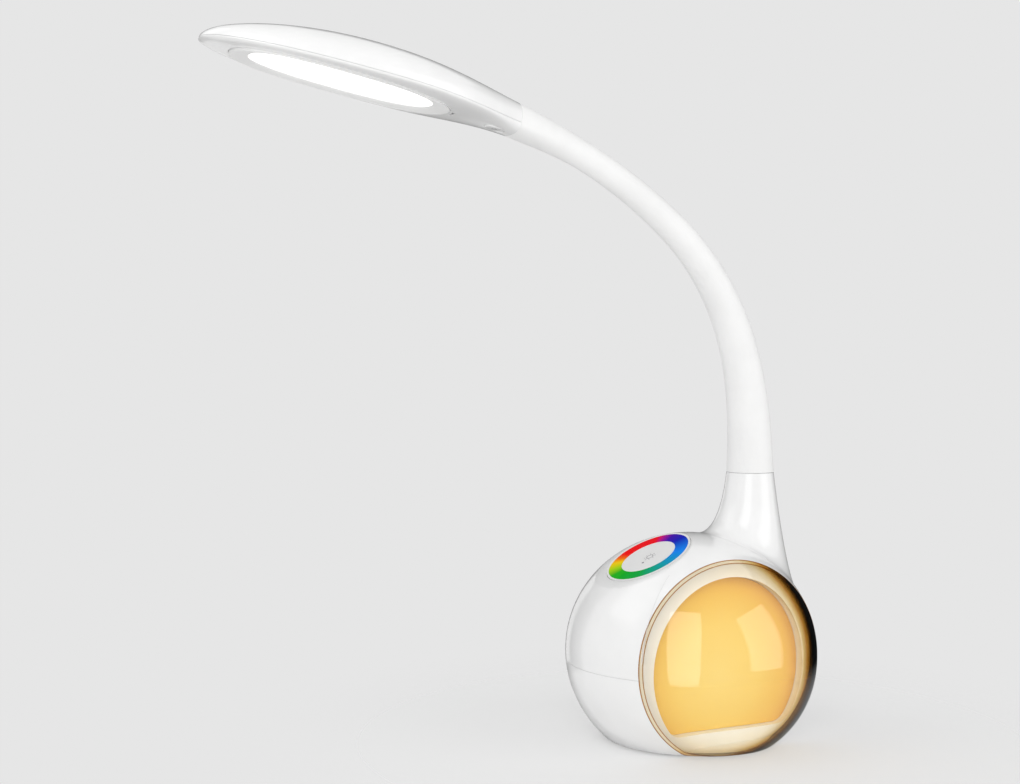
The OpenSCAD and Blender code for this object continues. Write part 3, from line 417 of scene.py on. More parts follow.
def upper_points(edge, flare_rows=34, ball_rows=84):
    """Flare: a quadratic curve from the collar to the ball that starts on the collar's slope and
    ends on the ball's. Ball: t = A cos p, z = centre + B sin p, with t measured along the slice."""
    a = np.arctan2(edge[:, 1], edge[:, 0] - neck_x)
    reach = 28 - 2 * np.cos(a)
    x, y = neck_x + reach * np.cos(a), reach * np.sin(a)
    rise = half_h * np.sqrt(np.clip(1 - (x ** 2 + y ** 2) / ball_r ** 2, 0.02, None))
    ball_z = centre_z + rise
    slope = -(half_h / ball_r) ** 2 * (x * np.cos(a) + y * np.sin(a)) / rise
    mid_r = (collar_r + 0.12 * (collar_z - ball_z + slope * reach)) / (1 + 0.12 * slope)
    mid_z = ball_z + slope * (mid_r - reach)
    u = np.linspace(0, 1, flare_rows)[:, None]
    rho, z = ((1 - u) ** 2 * first + 2 * u * (1 - u) * middle + u ** 2 * last
              for first, middle, last in ((collar_r, mid_r, reach), (collar_z, mid_z, ball_z)))
    flare = xyz(neck_x + rho * np.cos(a), rho * np.sin(a), z)
    side = neck_x * np.sin(a)
    k = np.sqrt(1 - (side / ball_r) ** 2)
    t0 = reach + neck_x * np.cos(a)
    t1 = np.hypot(edge[:, 0] - neck_x, edge[:, 1]) + neck_x * np.cos(a)
    p0 = np.arctan2((ball_z - centre_z) / half_h, t0 / ball_r)
    p1 = np.arctan2((edge[:, 2] - centre_z) / half_h, t1 / ball_r)
    p = mix(p0, p1, np.linspace(0, 1, ball_rows)[1:, None])
    rho = ball_r * k * np.cos(p) - neck_x * np.cos(a)
    ball = xyz(neck_x + rho * np.cos(a), np.maximum(rho * np.sin(a), -window_y),
               centre_z + half_h * k * np.sin(p))
    return np.concatenate([flare, ball])


edge = upper_edge()
upper_out = upper_points(edge)
print("upper skin grid", upper_out.shape[:2])

# %% [markdown]
# The shoulder carries a flat round facet for the touch field. The facet's plane leans 27.5 degrees,
# and its frame has the normal below. The inner wall follows the skin at 2.4 mm, but stays 5 mm
# below that plane, which leaves the boss that the touch panel sits in.

# %% The facet and the inner wall
lean = np.radians(27.5)
touch_o = np.array([-25.8, 0.0, 95.09])
touch_n = np.array([-np.sin(lean), 0.0, np.cos(lean)])
touch_u = np.array([np.cos(lean), 0.0, np.sin(lean)])
touch_v = np.array([0.0, 1.0, 0.0])


def on_touch(points):
    """Points given in the facet's own directions, brought to the lamp's frame."""
    p = np.asarray(points, float)
    return touch_o + p[..., :1] * touch_u + p[..., 1:2] * touch_v + p[..., 2:] * touch_n


def inner_wall(outer):
    """The skin moved in by the wall. Its end rows move within the planes of their edges."""
    n = outward(outer)
    for row in (0, -1):
        flat = n[row].copy()
        flat[np.abs(outer[row][:, 1] + window_y) < 1e-6, 1] = 0
        for level in (seam_z, collar_z):
            flat[np.abs(outer[row][:, 2] - level) < 1e-6, 2] = 0
        n[row] = flat / np.linalg.norm(flat, axis=-1, keepdims=True)
    return outer - wall * n


boss_r, boss_depth = 31.0, 5.0
upper_in = inner_wall(upper_out)
height = (upper_in - touch_o) @ touch_n
in_boss = np.linalg.norm((upper_in - touch_o) - height[..., None] * touch_n, axis=-1) < boss_r
push = np.where(in_boss, np.maximum(height + boss_depth, 0), 0)
upper_in = upper_in - push[..., None] * touch_n
height = (upper_in - touch_o) @ touch_n
print("inner wall lies at least", round(float(-height[in_boss].max()), 2), "mm below the facet")

# %% Cut the facet and the panel's seat
facet_profile = [(0, 30), (31.2, 30), (31.2, 0), (23.6, 0), (23.4, -0.2), (23.4, -2.0), (17.5, -2.0),
                 (17.5, -9), (0, -9)]
facet_cut = block_mesh("facet", on_touch(turned(facet_profile, 160)))
upper_mesh = cut_mesh(sheet_mesh("upper_shell_skin", upper_out, upper_in, True), facet_cut)
finish_piece(upper_mesh, "base", white_gloss, ["upper_shell"], 0.25, 30)

# %% [markdown]
# The lower half is a plain bowl from the seam to the foot, cut by the same window plane. Each row of
# its grid is an arc that starts and ends on that plane. A hair of a gap is left at the seam, and both
# edges are rounded, so the seam shows as the fine line it is. The socket for the mains adapter sits
# in a round recess at the back.

# %% The lower skin and its recess
seam_gap, foot_rows, bowl_cols = 0.12, 60, 240
recess_r, recess_z, recess_depth = 6.0, 22.0, 6.2
recess_y = ball_radius(recess_z) - recess_depth


def bowl(inset):
    """Rows of the lower half, each an arc that starts and ends on the window's plane."""
    z = np.linspace(seam_z - seam_gap, foot_z, foot_rows)[:, None]
    r = ball_radius(z, inset)
    start = np.arcsin(window_y / r)
    turn = mix(-start, np.pi + start, np.linspace(0, 1, bowl_cols)[None, :])
    return xyz(r * np.cos(turn), r * np.sin(turn), z)


def facing_back(points):
    """Points of a lathed shape turned to face the lamp's back, from the recess's floor outward."""
    x, y, z = np.moveaxis(points, -1, 0)
    return xyz(-x, recess_y + z, recess_z + y)


recess_profile = [(0, 20), (recess_r, 20), (recess_r, -10), (0, -10)]
recess_cut = block_mesh("recess", facing_back(turned(recess_profile)))
lower_mesh = cut_mesh(sheet_mesh("lower_shell_skin", bowl(0), bowl(wall)), recess_cut)
finish_piece(lower_mesh, "base", white_gloss, ["lower_shell"], 0.25)

# %% [markdown]
# The recess needs its own wall and floor, or it would look into the empty bowl. It is a short cup:
# a lathed ring that starts just inside the skin and closes round the jack's face.

# %% The recess cup
cup_profile = [(recess_r, 4.4), (recess_r, -0.1), (4.5, -0.1), (4.5, -0.7), (8.4, -0.7), (8.4, 3.0),
               (7.4, 3.6)]
cup_mesh = block_mesh("recess_cup", facing_back(turned(cup_profile)), True)
finish_piece(cup_mesh, "base", white_gloss)

# %% [markdown]
# ## The clear dome
# The dome carries the ball's shape on over the window, and its lower half bulges a little more. It
# is a real shell with an outer and an inner skin, because a clear cover shows its thickness at the
# rim: light bends there and draws the fine lines that the photograph shows.

# %% Points of the dome
dome_wall, dome_rows, dome_cols = 2.5, 64, 200


def dome_points(inset, floor, cols=dome_cols):
    """x = W s cos a, z = centre + H s sin a, y = -(r sqrt(1 - k s^2) + belly), from the pole, s = 0,
    to the window's plane, s = 1, or to the flat floor. The belly is 2.5 (-sin a) 6.75 s^4 (1 - s^2)."""
    r, h = ball_r - inset, half_h - inset
    k = 1 - (window_y / r) ** 2
    a = np.linspace(0, 2 * np.pi, cols, endpoint=False)[None, :]
    down = (centre_z - floor) / (h * np.sqrt(k) * np.maximum(-np.sin(a), 1e-6))
    s = np.sin(np.linspace(0, np.pi / 2, dome_rows))[:, None] * np.minimum(1, down)
    belly = 2.5 * np.maximum(0, -np.sin(a)) * 6.75 * s ** 4 * (1 - s ** 2)
    skin = xyz(r * np.sqrt(k) * s * np.cos(a), -(r * np.sqrt(1 - k * s ** 2) + belly),
               centre_z + h * np.sqrt(k) * s * np.sin(a))
    back = np.linspace(0, 1, 5)[1:, None, None]
    flat = xyz(skin[-1, :, 0], -window_y, skin[-1, :, 2])
    return np.concatenate([skin, mix(skin[-1:], flat[None], back)])


dome_out, dome_in = dome_points(0.0, foot_z), dome_points(dome_wall, foot_z + dome_wall)
dome_mesh = tube_mesh("dome_cover", dome_out, dome_in)
print("the dome bulges to", round(-dome_out[..., 1].min(), 1), "mm in front of the axis")

# %% [markdown]
# Clear moulded plastic bends light a little less than glass does. Its colour also turns darker and
# redder the more slantwise it's looked through, and that is painted shade: Layer Weight's Facing
# gives the slant, and a ramp turns it into the shaded tint. The ramp was matched to the photograph,
# whose right edge is darker than clear plastic alone would be. Light that only passes through on its
# way to the parts behind isn't worth tracing as glass, so shadow rays see a plain see-through shader.

# %% Clear dome finish
dome_clear, tree, shader = new_finish("clear dome", Base_Color=(1.0, 0.94, 0.82, 1), IOR=1.46,
                                      Roughness=0.015, Transmission_Weight=1.0)
slant = add_node(tree, "LayerWeight", Blend=0.5).outputs["Facing"]
# Painted shade: the tint goes darker and redder, down to black, at a slant.
slant_shade_tints = [(0.0, (1.0, 0.99, 0.95)), (0.2, (1.0, 0.98, 0.91)), (0.45, (1.0, 0.91, 0.72)),
         (0.515, (0.90, 0.72, 0.38)), (0.56, (0.72, 0.42, 0.08)), (0.61, (0.38, 0.09, 0.002)),
         (0.67, (0.03, 0.005, 0.0)), (0.76, (0.0, 0.0, 0.0))]
feed(shader, "Base Color", ramp(tree, slant, slant_shade_tints))
shadow_ray = add_node(tree, "LightPath").outputs["Is Shadow Ray"]
see_through = add_node(tree, "BsdfTransparent", Color=(1.0, 0.985, 0.95, 1))
mix_to(tree.nodes["Material Output"], shadow_ray, shader, see_through)
add_ripple(tree, shader, 0.01, object_noise(tree, 120, 1))
finish_piece(dome_mesh, "base", dome_clear, ["mood_dome"], 0, 20)

# %% [markdown]
# Where the dome meets the ball, a pale bead of glue holds it, with a thin golden line at each side of
# it. The golden lines are painted shade and light: they stand in for the shade in the gap at the rim
# and for the amber light bent at the dome's edge. The clear wall carries them to the eye as the fine
# double line of the photograph. Each is a small ring whose path is the dome's own rim at an inset, so
# all follow the flat foot too. They reach a little way into the clear wall, so nothing but the bead is
# seen through it.

# %% The glue bead and the painted shade lines at the dome's rim
bead_front, bead_back = -35.8, -35.35


def rim_line(inset, y):
    """The last ring of the dome's skin at an inset, set at a depth y."""
    line = dome_points(inset, foot_z + inset)[-1].copy()
    line[:, 1] = y
    return line


def rim_bead(name, *spans):
    """Beads with four corners along the rim, one for each (inset, width)."""
    beads = [np.array([rim_line(a, bead_front), rim_line(a + w, bead_front),
                       rim_line(a + w, bead_back), rim_line(a, bead_back)]) for a, w in spans]
    return joined_mesh(name, beads, True)


# Painted shade: the golden lines copy the shaded gap and the bent amber light at the rim.
rim_shade_gold = moulded("rim shade gold", (0.40, 0.17, 0.025), (0.48, 0.22, 0.04), (0.3, 0.4), 0.02, 1500)
glue_cream = moulded("glue cream", (0.87, 0.80, 0.64), (0.90, 0.84, 0.70), (0.3, 0.4), 0.02, 1500)
finish_piece(rim_bead("rim_shade_lines", (0.05, 0.5), (2.1, 0.5)), "base", rim_shade_gold, (), 0, 40)
finish_piece(rim_bead("rim_glue", (0.56, 1.53)), "base", glue_cream, (), 0, 40)

# %% [markdown]
# The dome has a flat foot. A thin white sheet lies on its inside as painted light: it makes the foot
# look pale and lit from the front, where it would otherwise look grey in shade. Its front edge follows
# the dome's inner wall at that height.

# %% The pale sheet on the dome's foot, painted light
def foot_sheet(z, cols=96, rows=12):
    """From the window's plane to the inner wall: y runs from -35.7 to -(r(z) sin a + belly) + 0.5."""
    level = dome_points(dome_wall, z, 400)[dome_rows - 1]
    front = level[(np.abs(level[:, 2] - z) < 1e-3) & (level[:, 1] < -window_y)]
    front = front[np.argsort(front[:, 0])]
    x = np.linspace(front[0, 0] + 0.8, front[-1, 0] - 0.8, cols)
    y = np.minimum(np.interp(x, front[:, 0], front[:, 1]) + 0.5, -window_y - 0.15)
    return xyz(x, mix(-window_y - 0.1, y, np.linspace(0, 1, rows)[:, None]), z)


# Painted light: a white sheet that makes the shaded foot look lit.
foot_mesh = sheet_mesh("foot_light_sheet", foot_sheet(foot_z + 2.8), foot_sheet(foot_z + 2.56))
finish_piece(foot_mesh, "base", white_satin, (), 0, 30)

# %% [markdown]
# Behind the dome stands the amber light. Its disc is lit from behind: it is brightest in the middle
# and deepens towards its edge. That is a ramp over the distance from its centre, read in Object
# coordinates, with a fine grain on top. The same value feeds the colour and the glow.

# %% Amber finish
def distance_from(tree, centre, scale):
    """Distance from a point, as a share: the length of (position - centre) times a scale per axis."""
    place = add_node(tree, "TexCoord").outputs["Object"]
    shift = add_node(tree, "Mapping", Vector=place, Location=[-c * s for c, s in zip(centre, scale)],
                     Scale=[s / MM for s in scale])
    length = add_node(tree, "VectorMath", shift.outputs["Vector"], operation="LENGTH")
    return length.outputs["Value"]


amber, tree, shader = new_finish("amber", Roughness=0.4, IOR=1.49, Emission_Strength=0.15)
amber_tones = [(0.0, (0.73, 0.53, 0.14)), (0.5, (0.72, 0.49, 0.10)), (0.8, (0.70, 0.42, 0.055)),
               (1.0, (0.68, 0.34, 0.03))]
glow = ramp(tree, distance_from(tree, (-4, -31, 38), (1 / 50, 0, 1 / 50)), amber_tones)
feed(shader, "Base Color", glow)
feed(shader, "Emission Color", glow)
disc_low, disc_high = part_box("mood_diffuser")
print("amber disc is", round((disc_high - disc_low).x * 1000, 1), "mm wide")

# %% [markdown]
# ## The touch field
# A round satin panel lies in the facet, with a ring of colours round it for choosing the light's
# colour. The panel and the ring are exact as solids, so they only need their finishes. A radial
# gradient gives the angle round the ring's middle once a Mapping node has turned the facet level,
# and a ramp turns that angle into the colours.

# %% Colour ring finish
colour_ring, tree, shader = new_finish("colour ring", Roughness=0.5, IOR=1.45, Specular_IOR_Level=0.12,
                                       Emission_Strength=0.08)
place = add_node(tree, "TexCoord").outputs["Object"]
middle = Matrix.Rotation(lean, 3, "Y") @ Vector(touch_o * MM)
level = add_node(tree, "Mapping", Vector=place, Rotation=(0, lean, 0), Location=-middle)
spin = add_node(tree, "TexGradient", Vector=level.outputs["Vector"], gradient_type="RADIAL")
hues = [(0.00, (0.00, 0.40, 0.01)), (0.11, (0.00, 0.36, 0.05)), (0.20, (0.00, 0.33, 0.30)),
        (0.33, (0.00, 0.22, 0.85)), (0.46, (0.00, 0.01, 0.45)), (0.535, (0.05, 0.00, 0.38)),
        (0.57, (0.30, 0.00, 0.30)), (0.61, (0.82, 0.00, 0.01)), (0.77, (0.85, 0.00, 0.00)),
        (0.805, (0.88, 0.15, 0.00)), (0.84, (0.88, 0.58, 0.00)), (0.90, (0.35, 0.62, 0.00)),
        (0.96, (0.01, 0.42, 0.01))]
band = ramp(tree, spin.outputs["Fac"], hues)
feed(shader, "Base Color", band)
feed(shader, "Emission Color", band)
print("colour ring:", len(hues), "colours round the circle")

# %% [markdown]
# Two small grey marks are printed on the panel: a sun for the light, and a dot that shows where the
# sensor is. Each is a very thin raised shape, so it can be felt as well as seen.

# %% Printed marks
print_grey = moulded("print grey", (0.20, 0.20, 0.21), (0.26, 0.26, 0.27), (0.5, 0.6), 0.02, 1500)
corner_side, corner_up = np.array([-0.5, 0.5, 0.5, -0.5]), np.array([0.0, 0.0, 1.0, 1.0])
mark_z, mark_t = 0.14, 0.06


def closed_ends(rings):
    """Rings of four corners, with one more at each end that is drawn together to a point."""
    first, last = (ring.mean(1, keepdims=True).repeat(4, 1) for ring in (rings[:1], rings[-1:]))
    return np.concatenate([first, rings, last])


def arc_band(middle, r, width, from_deg, to_deg, base_z, height, steps=72):
    """A thin raised band along an arc: a ring of four corners carried round from angle to angle."""
    a = np.radians(np.linspace(from_deg, to_deg, steps))[:, None]
    corner_r = r + width * corner_side
    return closed_ends(xyz(middle[0] + np.cos(a) * corner_r, middle[1] + np.sin(a) * corner_r,
                           base_z + height * corner_up))


def stroke(middle, from_r, to_r, deg, width, base_z, height):
    """A thin raised bar that points away from a middle at an angle."""
    a = np.radians(deg)
    along, across = np.array([from_r, to_r])[:, None], width * corner_side
    return closed_ends(xyz(middle[0] + along * np.cos(a) - across * np.sin(a),
                           middle[1] + along * np.sin(a) + across * np.cos(a),
                           base_z + height * corner_up))


sun = [arc_band((0, -1.5), 1.75, 0.3, 0, 360, mark_z, mark_t)]
sun += [stroke((0, -1.5), 2.5, 3.3, deg, 0.3, mark_z, mark_t) for deg in range(0, 360, 45)]
sun += [arc_band((-5.7, -2.8), 0.35, 0.6, 0, 360, mark_z, mark_t, 24)]
sun_mesh = joined_mesh("sun_mark", [on_touch(shape) for shape in sun])
finish_piece(sun_mesh, "base", print_grey)

# %% [markdown]
# ## The neck
# The neck is a soft silicone tube over a bendable metal core. Its centreline is a chain of arcs that
# start upright and end in line with the head. Inside, five hinges stand for the core's bending, so
# the tube is made in five lengths that run from the middle of one stiff piece to the middle of the
# next, each over its own hinge. Where two lengths meet, both are stiff, so no gap opens.

# %% Centreline and thickness
neck_arcs = [(25, 3.6), (33, 9.7), (83, 37.2), (93, 20.6), (13.5, 0)]
neck_len = sum(length for length, turn in neck_arcs)
joints_at = [28, 70, 112, 154, 196]
pitch = np.radians(10.2)
head_drop = 3.0


def neck_place(s):
    """Place [x, z, lean] at a distance along the neck: each arc adds r (cos - cos), r (sin - sin)."""
    s = np.asarray(s, float)
    x, z, angle, done = neck_x + 0 * s, collar_z + 0 * s, 0 * s, 0.0
    for k, (length, turn) in enumerate(neck_arcs):
        run = np.clip(s - done, 0, length if k < len(neck_arcs) - 1 else None)
        if turn:
            bend = np.radians(turn) * run / length
            r = length / np.radians(turn)
            x = x + r * (np.cos(angle + bend) - np.cos(angle))
            z = z + r * (np.sin(angle + bend) - np.sin(angle))
            angle = angle + bend
        else:
            x, z = x - run * np.sin(angle), z + run * np.cos(angle)
        done += length
    return x, z, angle


def neck_radius(s):
    """Radius of the sleeve: 7.1 mm, widening to 12.4 mm at the collar."""
    return 7.1 + 5.3 * np.clip(1 - np.asarray(s, float) / 200, 0, None) ** 1.6


end_x, end_z, end_lean = neck_place(neck_len)
print(f"the neck is {neck_len} mm long and ends at x {end_x:.1f}, z {end_z:.1f} mm")

# %% [markdown]
# Towards the head the round tube becomes a flat oval with its own top and bottom heights, and its
# last section lies in the plane of the head's seam. The section is a superellipse whose power slides
# from a circle's to the head's.

# %% Sections of the sleeve
flat_from, turn_from = 202.4, 236.9
end_half_w, end_top, end_low = 10.4, 11.0, 5.0


def across_neck(x, z, angle, height, side):
    """Rings with heights square to the centreline and sides along y."""
    cos, sin = np.cos(angle)[:, None], np.sin(angle)[:, None]
    return xyz(x[:, None] + height * cos, side, z[:, None] + height * sin)


def neck_rings(s, cols=96, inset=0.0):
    """Rings of the sleeve: height = (top or bottom) cos a, width = w sin a, both to a power."""
    s = np.asarray(s, float)
    x, z, angle = neck_place(s)
    share = ease((s - flat_from) / (neck_len - flat_from))
    angle = angle + (np.pi / 2 - pitch - angle) * ease((s - turn_from) / (neck_len - turn_from))
    r = neck_radius(s)
    x, z = x - head_drop * share * np.cos(angle), z - head_drop * share * np.sin(angle)
    w, top, low = (mix(r, target, share) - inset for target in (end_half_w, end_top, end_low))
    power = mix(1, 2 / 2.3, share)[:, None]
    a = np.linspace(0, 2 * np.pi, cols, endpoint=False)[None]
    c, side = signed_pow(np.cos(a), power), signed_pow(np.sin(a), power)
    height = np.where(c > 0, top[:, None], low[:, None]) * c
    return across_neck(x, z, angle, height, w[:, None] * side)


def bore_rings(s, r, cols=96):
    """Plain round rings on the centreline."""
    a = np.linspace(0, 2 * np.pi, cols, endpoint=False)[None]
    return across_neck(*neck_place(s), r[:, None] * np.cos(a), r[:, None] * np.sin(a))


# %% The five lengths of the sleeve
cuts = [0, 49, 91, 133, 175, neck_len]
bodies = ["base", "neck_1", "neck_2", "neck_3", "neck_4", "head"]
sleeve_nodes = [["sleeve_0"], ["sleeve_1"], ["sleeve_2"], ["sleeve_3"], ["sleeve_4", "sleeve_5"]]
foot_bore, plain_bore, head_bore = 11.05, 5.3, 6.2
ring_step, bend_half = 0.9, 11.0
for k in range(5):
    low, high = cuts[k], cuts[k + 1]
    s = np.linspace(low, high, int((high - low) / ring_step))
    if k == 0:
        s = np.concatenate([[0.12, 0.16, 0.35], s[1:]])
    rings = neck_rings(s)
    if k == 0:
        rings[0] = neck_rings(s[:1], inset=0.35)[0]
        rings[1] = neck_rings(s[1:2], inset=0.12)[0]
    bore = np.where(s < 2.6, foot_bore, np.where(s > 236.5, head_bore, plain_bore))
    x, z, angle = neck_place(joints_at[k] + np.array([-bend_half, bend_half]))
    ends = [(x[i] * MM, 0, z[i] * MM) for i in range(2)]
    mesh = tube_mesh(f"neck_sleeve_{k + 1}", rings, bore_rings(s, bore))
    finish_piece(mesh, (bodies[k], bodies[k + 1], *ends), silicone, sleeve_nodes[k], 0, 32)

# %% [markdown]
# ## The head
# The head is a slim leaf shape, widest two fifths of the way along, that rises towards its tip. It
# is two mouldings, a crowned top and a flat cover below, which meet in a fine seam round the edge.
# Both are swept from sections, closely spaced at the round tip. In the head's own frame, x runs from
# the neck to the tip and z is up.

# %% The head's frame and outline
head_len, widest = 156.5, 66.5
root = np.array([end_x - head_drop * np.sin(pitch), 0, end_z - head_drop * np.cos(pitch)])


def on_head(points):
    """Points in the head's own frame, brought to the lamp's: a half turn, a tilt by the pitch, a move."""
    x, y, z = np.moveaxis(np.asarray(points, float), -1, 0)
    return root + xyz(-x * np.cos(pitch) + z * np.sin(pitch), -y, x * np.sin(pitch) + z * np.cos(pitch))


def head_half_w(x):
    """Half width: a sine rise from 10.4 to 29 mm at the widest place, then a blunt quarter of an oval."""
    rise = 10.4 + 18.6 * np.sin(np.pi / 2 * np.clip(x / widest, 0, 1)) ** 1.13
    past = np.clip((x - widest) / (head_len - widest), 0, 1)
    fall = 29 * (1 - past ** 2.2) ** (1 / 2.2)
    return np.where(x < widest, rise, fall)


def head_top(x):
    """Height of the top above the seam."""
    share = np.clip(x / head_len, 0, 1)
    return (11 + 7 * np.sin(np.pi * share)) * np.sqrt(np.clip(1 - share ** 6.5, 0, None))


def head_bottom(x):
    """Depth of the cover below the seam."""
    share = np.clip(x / head_len, 0, 1)
    return (2.6 + 2.4 * (1 - np.clip(x / 30, 0, 1)) ** 2) * np.sqrt(np.clip(1 - share ** 8, 0, None))


head_x = np.concatenate([np.linspace(0.1, widest, 56)[:-1],
                         widest + (head_len - widest) * np.sin(np.linspace(0, np.pi / 2, 64))])
print("the head is", round(2 * float(head_half_w(widest)), 1), "mm wide")


def head_sheet(x, upper, side_inset, height_inset, cols=120, lift=0.07):
    """Half sections from edge to edge: y = -w cos a, z = h sin a, each to its power."""
    a = np.linspace(0, np.pi, cols)[None]
    w = np.clip(head_half_w(x) - side_inset, 0, None)[:, None]
    h = np.clip((head_top(x) if upper else head_bottom(x)) - height_inset, 0, None)[:, None]
    c, s = signed_pow(np.cos(a), 2 / 2.3), signed_pow(np.sin(a), 2 / 2.3 if upper else 2 / 3)
    sign = 1 if upper else -1
    return xyz(x[:, None], -w * c, sign * (lift + h * s))


# %% The head's top
inner_x = 0.1 + (head_x - 0.1) * (head_len - 1.9) / (head_len - 0.1)
top_mesh = sheet_mesh("head_top_skin", on_head(head_sheet(head_x, True, 0, 0)),
                      on_head(head_sheet(inner_x, True, 1.8, 1.8)))
finish_piece(top_mesh, "head", white_gloss, ["head_top_shell"], 0.22, 26)

# %% [markdown]
# The cover below has an oval opening for the light, a hole for the button and a small slit. They're
# cut with the exact Boolean, and its edges get the same fine rounding.

# %% Outlines on the cover
light_x, light_l, light_w, oval_sides = 88.5, 54.0, 21.0, 220
button_x, button_l, button_w, button_gap = 9.0, 10.0, 7.0, 0.15


def oval(inset, power=2.4):
    """The light's outline moved in: x = l cos a, y = w sin a, to the power 2/2.4."""
    a = np.linspace(0, 2 * np.pi, oval_sides, endpoint=False)
    return np.stack([light_x + (light_l - inset) * signed_pow(np.cos(a), 2 / power),
                     (light_w - inset / 2) * signed_pow(np.sin(a), 2 / power)], -1)


def stadium(length, width, inset=0.0, sides=96):
    """The button's outline: a circle of half the width whose halves are pulled apart."""
    a = np.linspace(0, 2 * np.pi, sides, endpoint=False) + 1e-4
    r = width / 2 - inset
    return np.stack([button_x + np.sign(np.cos(a)) * (length - width) / 2 + r * np.cos(a), r * np.sin(a)], -1)


slit_near, slit_far, slit_half_w = light_x - light_l - 3.4, light_x - light_l - 1.9, 2.2
slit = np.array([(slit_near, -slit_half_w), (slit_far, -slit_half_w),
                 (slit_far, slit_half_w), (slit_near, slit_half_w)])
button_hole = stadium(button_l + 2 * button_gap, button_w + 2 * button_gap)
cutters = [block_mesh("cut_" + name, on_head(prism(outline, -10, 10)))
           for name, outline in (("light", oval(0)), ("button", button_hole), ("slit", slit))]
cover_mesh = cut_mesh(sheet_mesh("head_cover_skin", on_head(head_sheet(head_x, False, 0, 0)),
                                 on_head(head_sheet(inner_x, False, 2.4, 1.6))), *cutters)
finish_piece(cover_mesh, "head", white_gloss, ["head_bottom_cover"], 0.1, 24)

# %% [markdown]
# The slit leads into the dark inside of the head. A small dark block sits behind it as painted shade,
# so it reads as a dark slot and not as a window onto the white reflector.

# %% The dark behind the slit
shade_outline = slit + np.array([(-0.3, -0.3), (0.3, -0.3), (0.3, 0.3), (-0.3, 0.3)])
shade_mesh = block_mesh("slit_shade", on_head(prism(shade_outline, -1.9, -1.1)))
finish_piece(shade_mesh, "head", finishes["dark_plastic"], (), 0.1)

# %% [markdown]
# ## The light
# A sloping frame leads from the cover up to the lens, so no bright edge shows from the side. The
# lens is a slightly domed plate that glows evenly.

# %% Frame and lens of the light
def light_rings(rows):
    """Rings of the light's outline, one for each (inset, height)."""
    return on_head(np.stack([xyz(*oval(inset).T, z) for inset, z in rows]))


frame_rows = [(0.2, -2.95), (0.2, 0.6), (7.6, 0.6), (7.6, -1.3), (9.2, -1.3), (9.2, -1.72), (9.1, -1.86),
              (8.9, -1.93), (5.0, -2.52), (1.5, -3.02), (1.0, -3.09), (0.6, -3.11), (0.35, -3.06)]
frame_mesh = block_mesh("light_frame_skin", light_rings(frame_rows), True)
finish_piece(frame_mesh, "head", white_satin, ["light_frame"], 0, 30)

lens_inset, lens_low, lens_bulge, lens_high = 7.8, -1.28, 0.4, 0.3
lens_rows = [(v, lens_low - lens_bulge * (1 - v * v)) for v in np.linspace(0, 1, 24)]
lens_rows += [(v, lens_high) for v, z in lens_rows[::-1]]
lens_rings = np.stack([xyz(*mix(np.array([light_x, 0.0]), oval(lens_inset), v).T, z) for v, z in lens_rows])
lens_mesh = block_mesh("light_lens", on_head(lens_rings))

lamp_glow, tree, shader = new_finish("lamp glow", Base_Color=(0.86, 0.86, 0.84, 1), Roughness=0.5,
                                     Emission_Strength=1.5)
drift = object_noise(tree, 55, 2)
feed(shader, "Emission Color", ramp(tree, drift, [(0.3, (1.0, 0.985, 0.95)), (0.7, (1.0, 1.0, 0.985))]))
finish_piece(lens_mesh, "head", lamp_glow, ["light_diffuser"], 0, 30)

# %% [markdown]
# ## The button
# The button is a small oval cap under the neck end of the head. It stands 0.3 mm proud, has softly
# rounded edges and carries a tiny dark power mark, and it rides on its own body so it can be pressed.

# %% Button cap and mark
cover_depth = float(head_bottom(button_x))
button_proud, floor_t, flange_gap, flange_t, flange_out = 0.3, 1.6, 0.1, 0.5, 0.7
low = -cover_depth - button_proud
flange_z = floor_t - cover_depth + flange_gap


def cap_ring(inset, z, shrink=1.0):
    """The cap's outline at a height, moved in and then shrunk towards its middle."""
    outline = mix(np.array([button_x, 0.0]), stadium(button_l, button_w, inset), shrink)
    return xyz(*outline.T, z)


cap_rows = [(1.2, low, 0.0), (1.2, low, 0.5), (1.2, low + 0.01), (0.6, low + 0.05), (0.2, low + 0.17),
            (0.0, low + 0.42), (0.0, flange_z), (-flange_out, flange_z),
            (-flange_out, flange_z + flange_t), (-flange_out, flange_z + flange_t, 0.0)]
cap_mesh = block_mesh("button_cap", on_head(np.stack([cap_ring(*row) for row in cap_rows])))
finish_piece(cap_mesh, "button", white_gloss, ["head_button"], 0, 40)
print_z, print_t = low - 0.035, 0.07
power = [arc_band((button_x, 0), 1.1, 0.28, 125, 415, print_z, print_t, 60),
         stroke((button_x, 0), 0.35, 1.5, 90, 0.28, print_z, print_t)]
power_mesh = joined_mesh("power_mark", [on_head(shape) for shape in power])
finish_piece(power_mesh, "button", print_grey)

# %% [markdown]
# ## Finishes for the solids that stay
# The inner parts keep their exact solids. Each takes the finish that its material slot names in the
# record, so the record and the picture agree.

# %% Give every solid its finish
finishes.update(white_gloss=white_gloss, white_satin=white_satin, white_silicone=silicone,
                clear_amber=dome_clear, amber=amber, colour_band=colour_ring, lamp_glow=lamp_glow)
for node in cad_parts.values():
    for k, old in enumerate(node.data.materials):
        node.data.materials[k] = finishes[old.name.split(".")[0]]
print("solids with finishes:", len(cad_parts))

# %% [markdown]
# ## The studio
# The photograph has an even pale grey ground, so the world shows that grey to the camera, and to the
# rays that gloss and glass send out. The floor is lit and takes the lamp's shadow close by, then
# turns see-through for those rays, so they meet the same grey and there is no horizon.

# %% World and floor
ground = (0.791, 0.791, 0.791, 1)


def seen_ray(tree):
    """1 for camera, glossy and transmission rays, 0 for the rest."""
    ray = add_node(tree, "LightPath").outputs
    first = add_node(tree, "Math", ray["Is Camera Ray"], ray["Is Glossy Ray"], operation="MAXIMUM")
    both = add_node(tree, "Math", first.outputs[0], ray["Is Transmission Ray"], operation="MAXIMUM")
    return both.outputs[0]


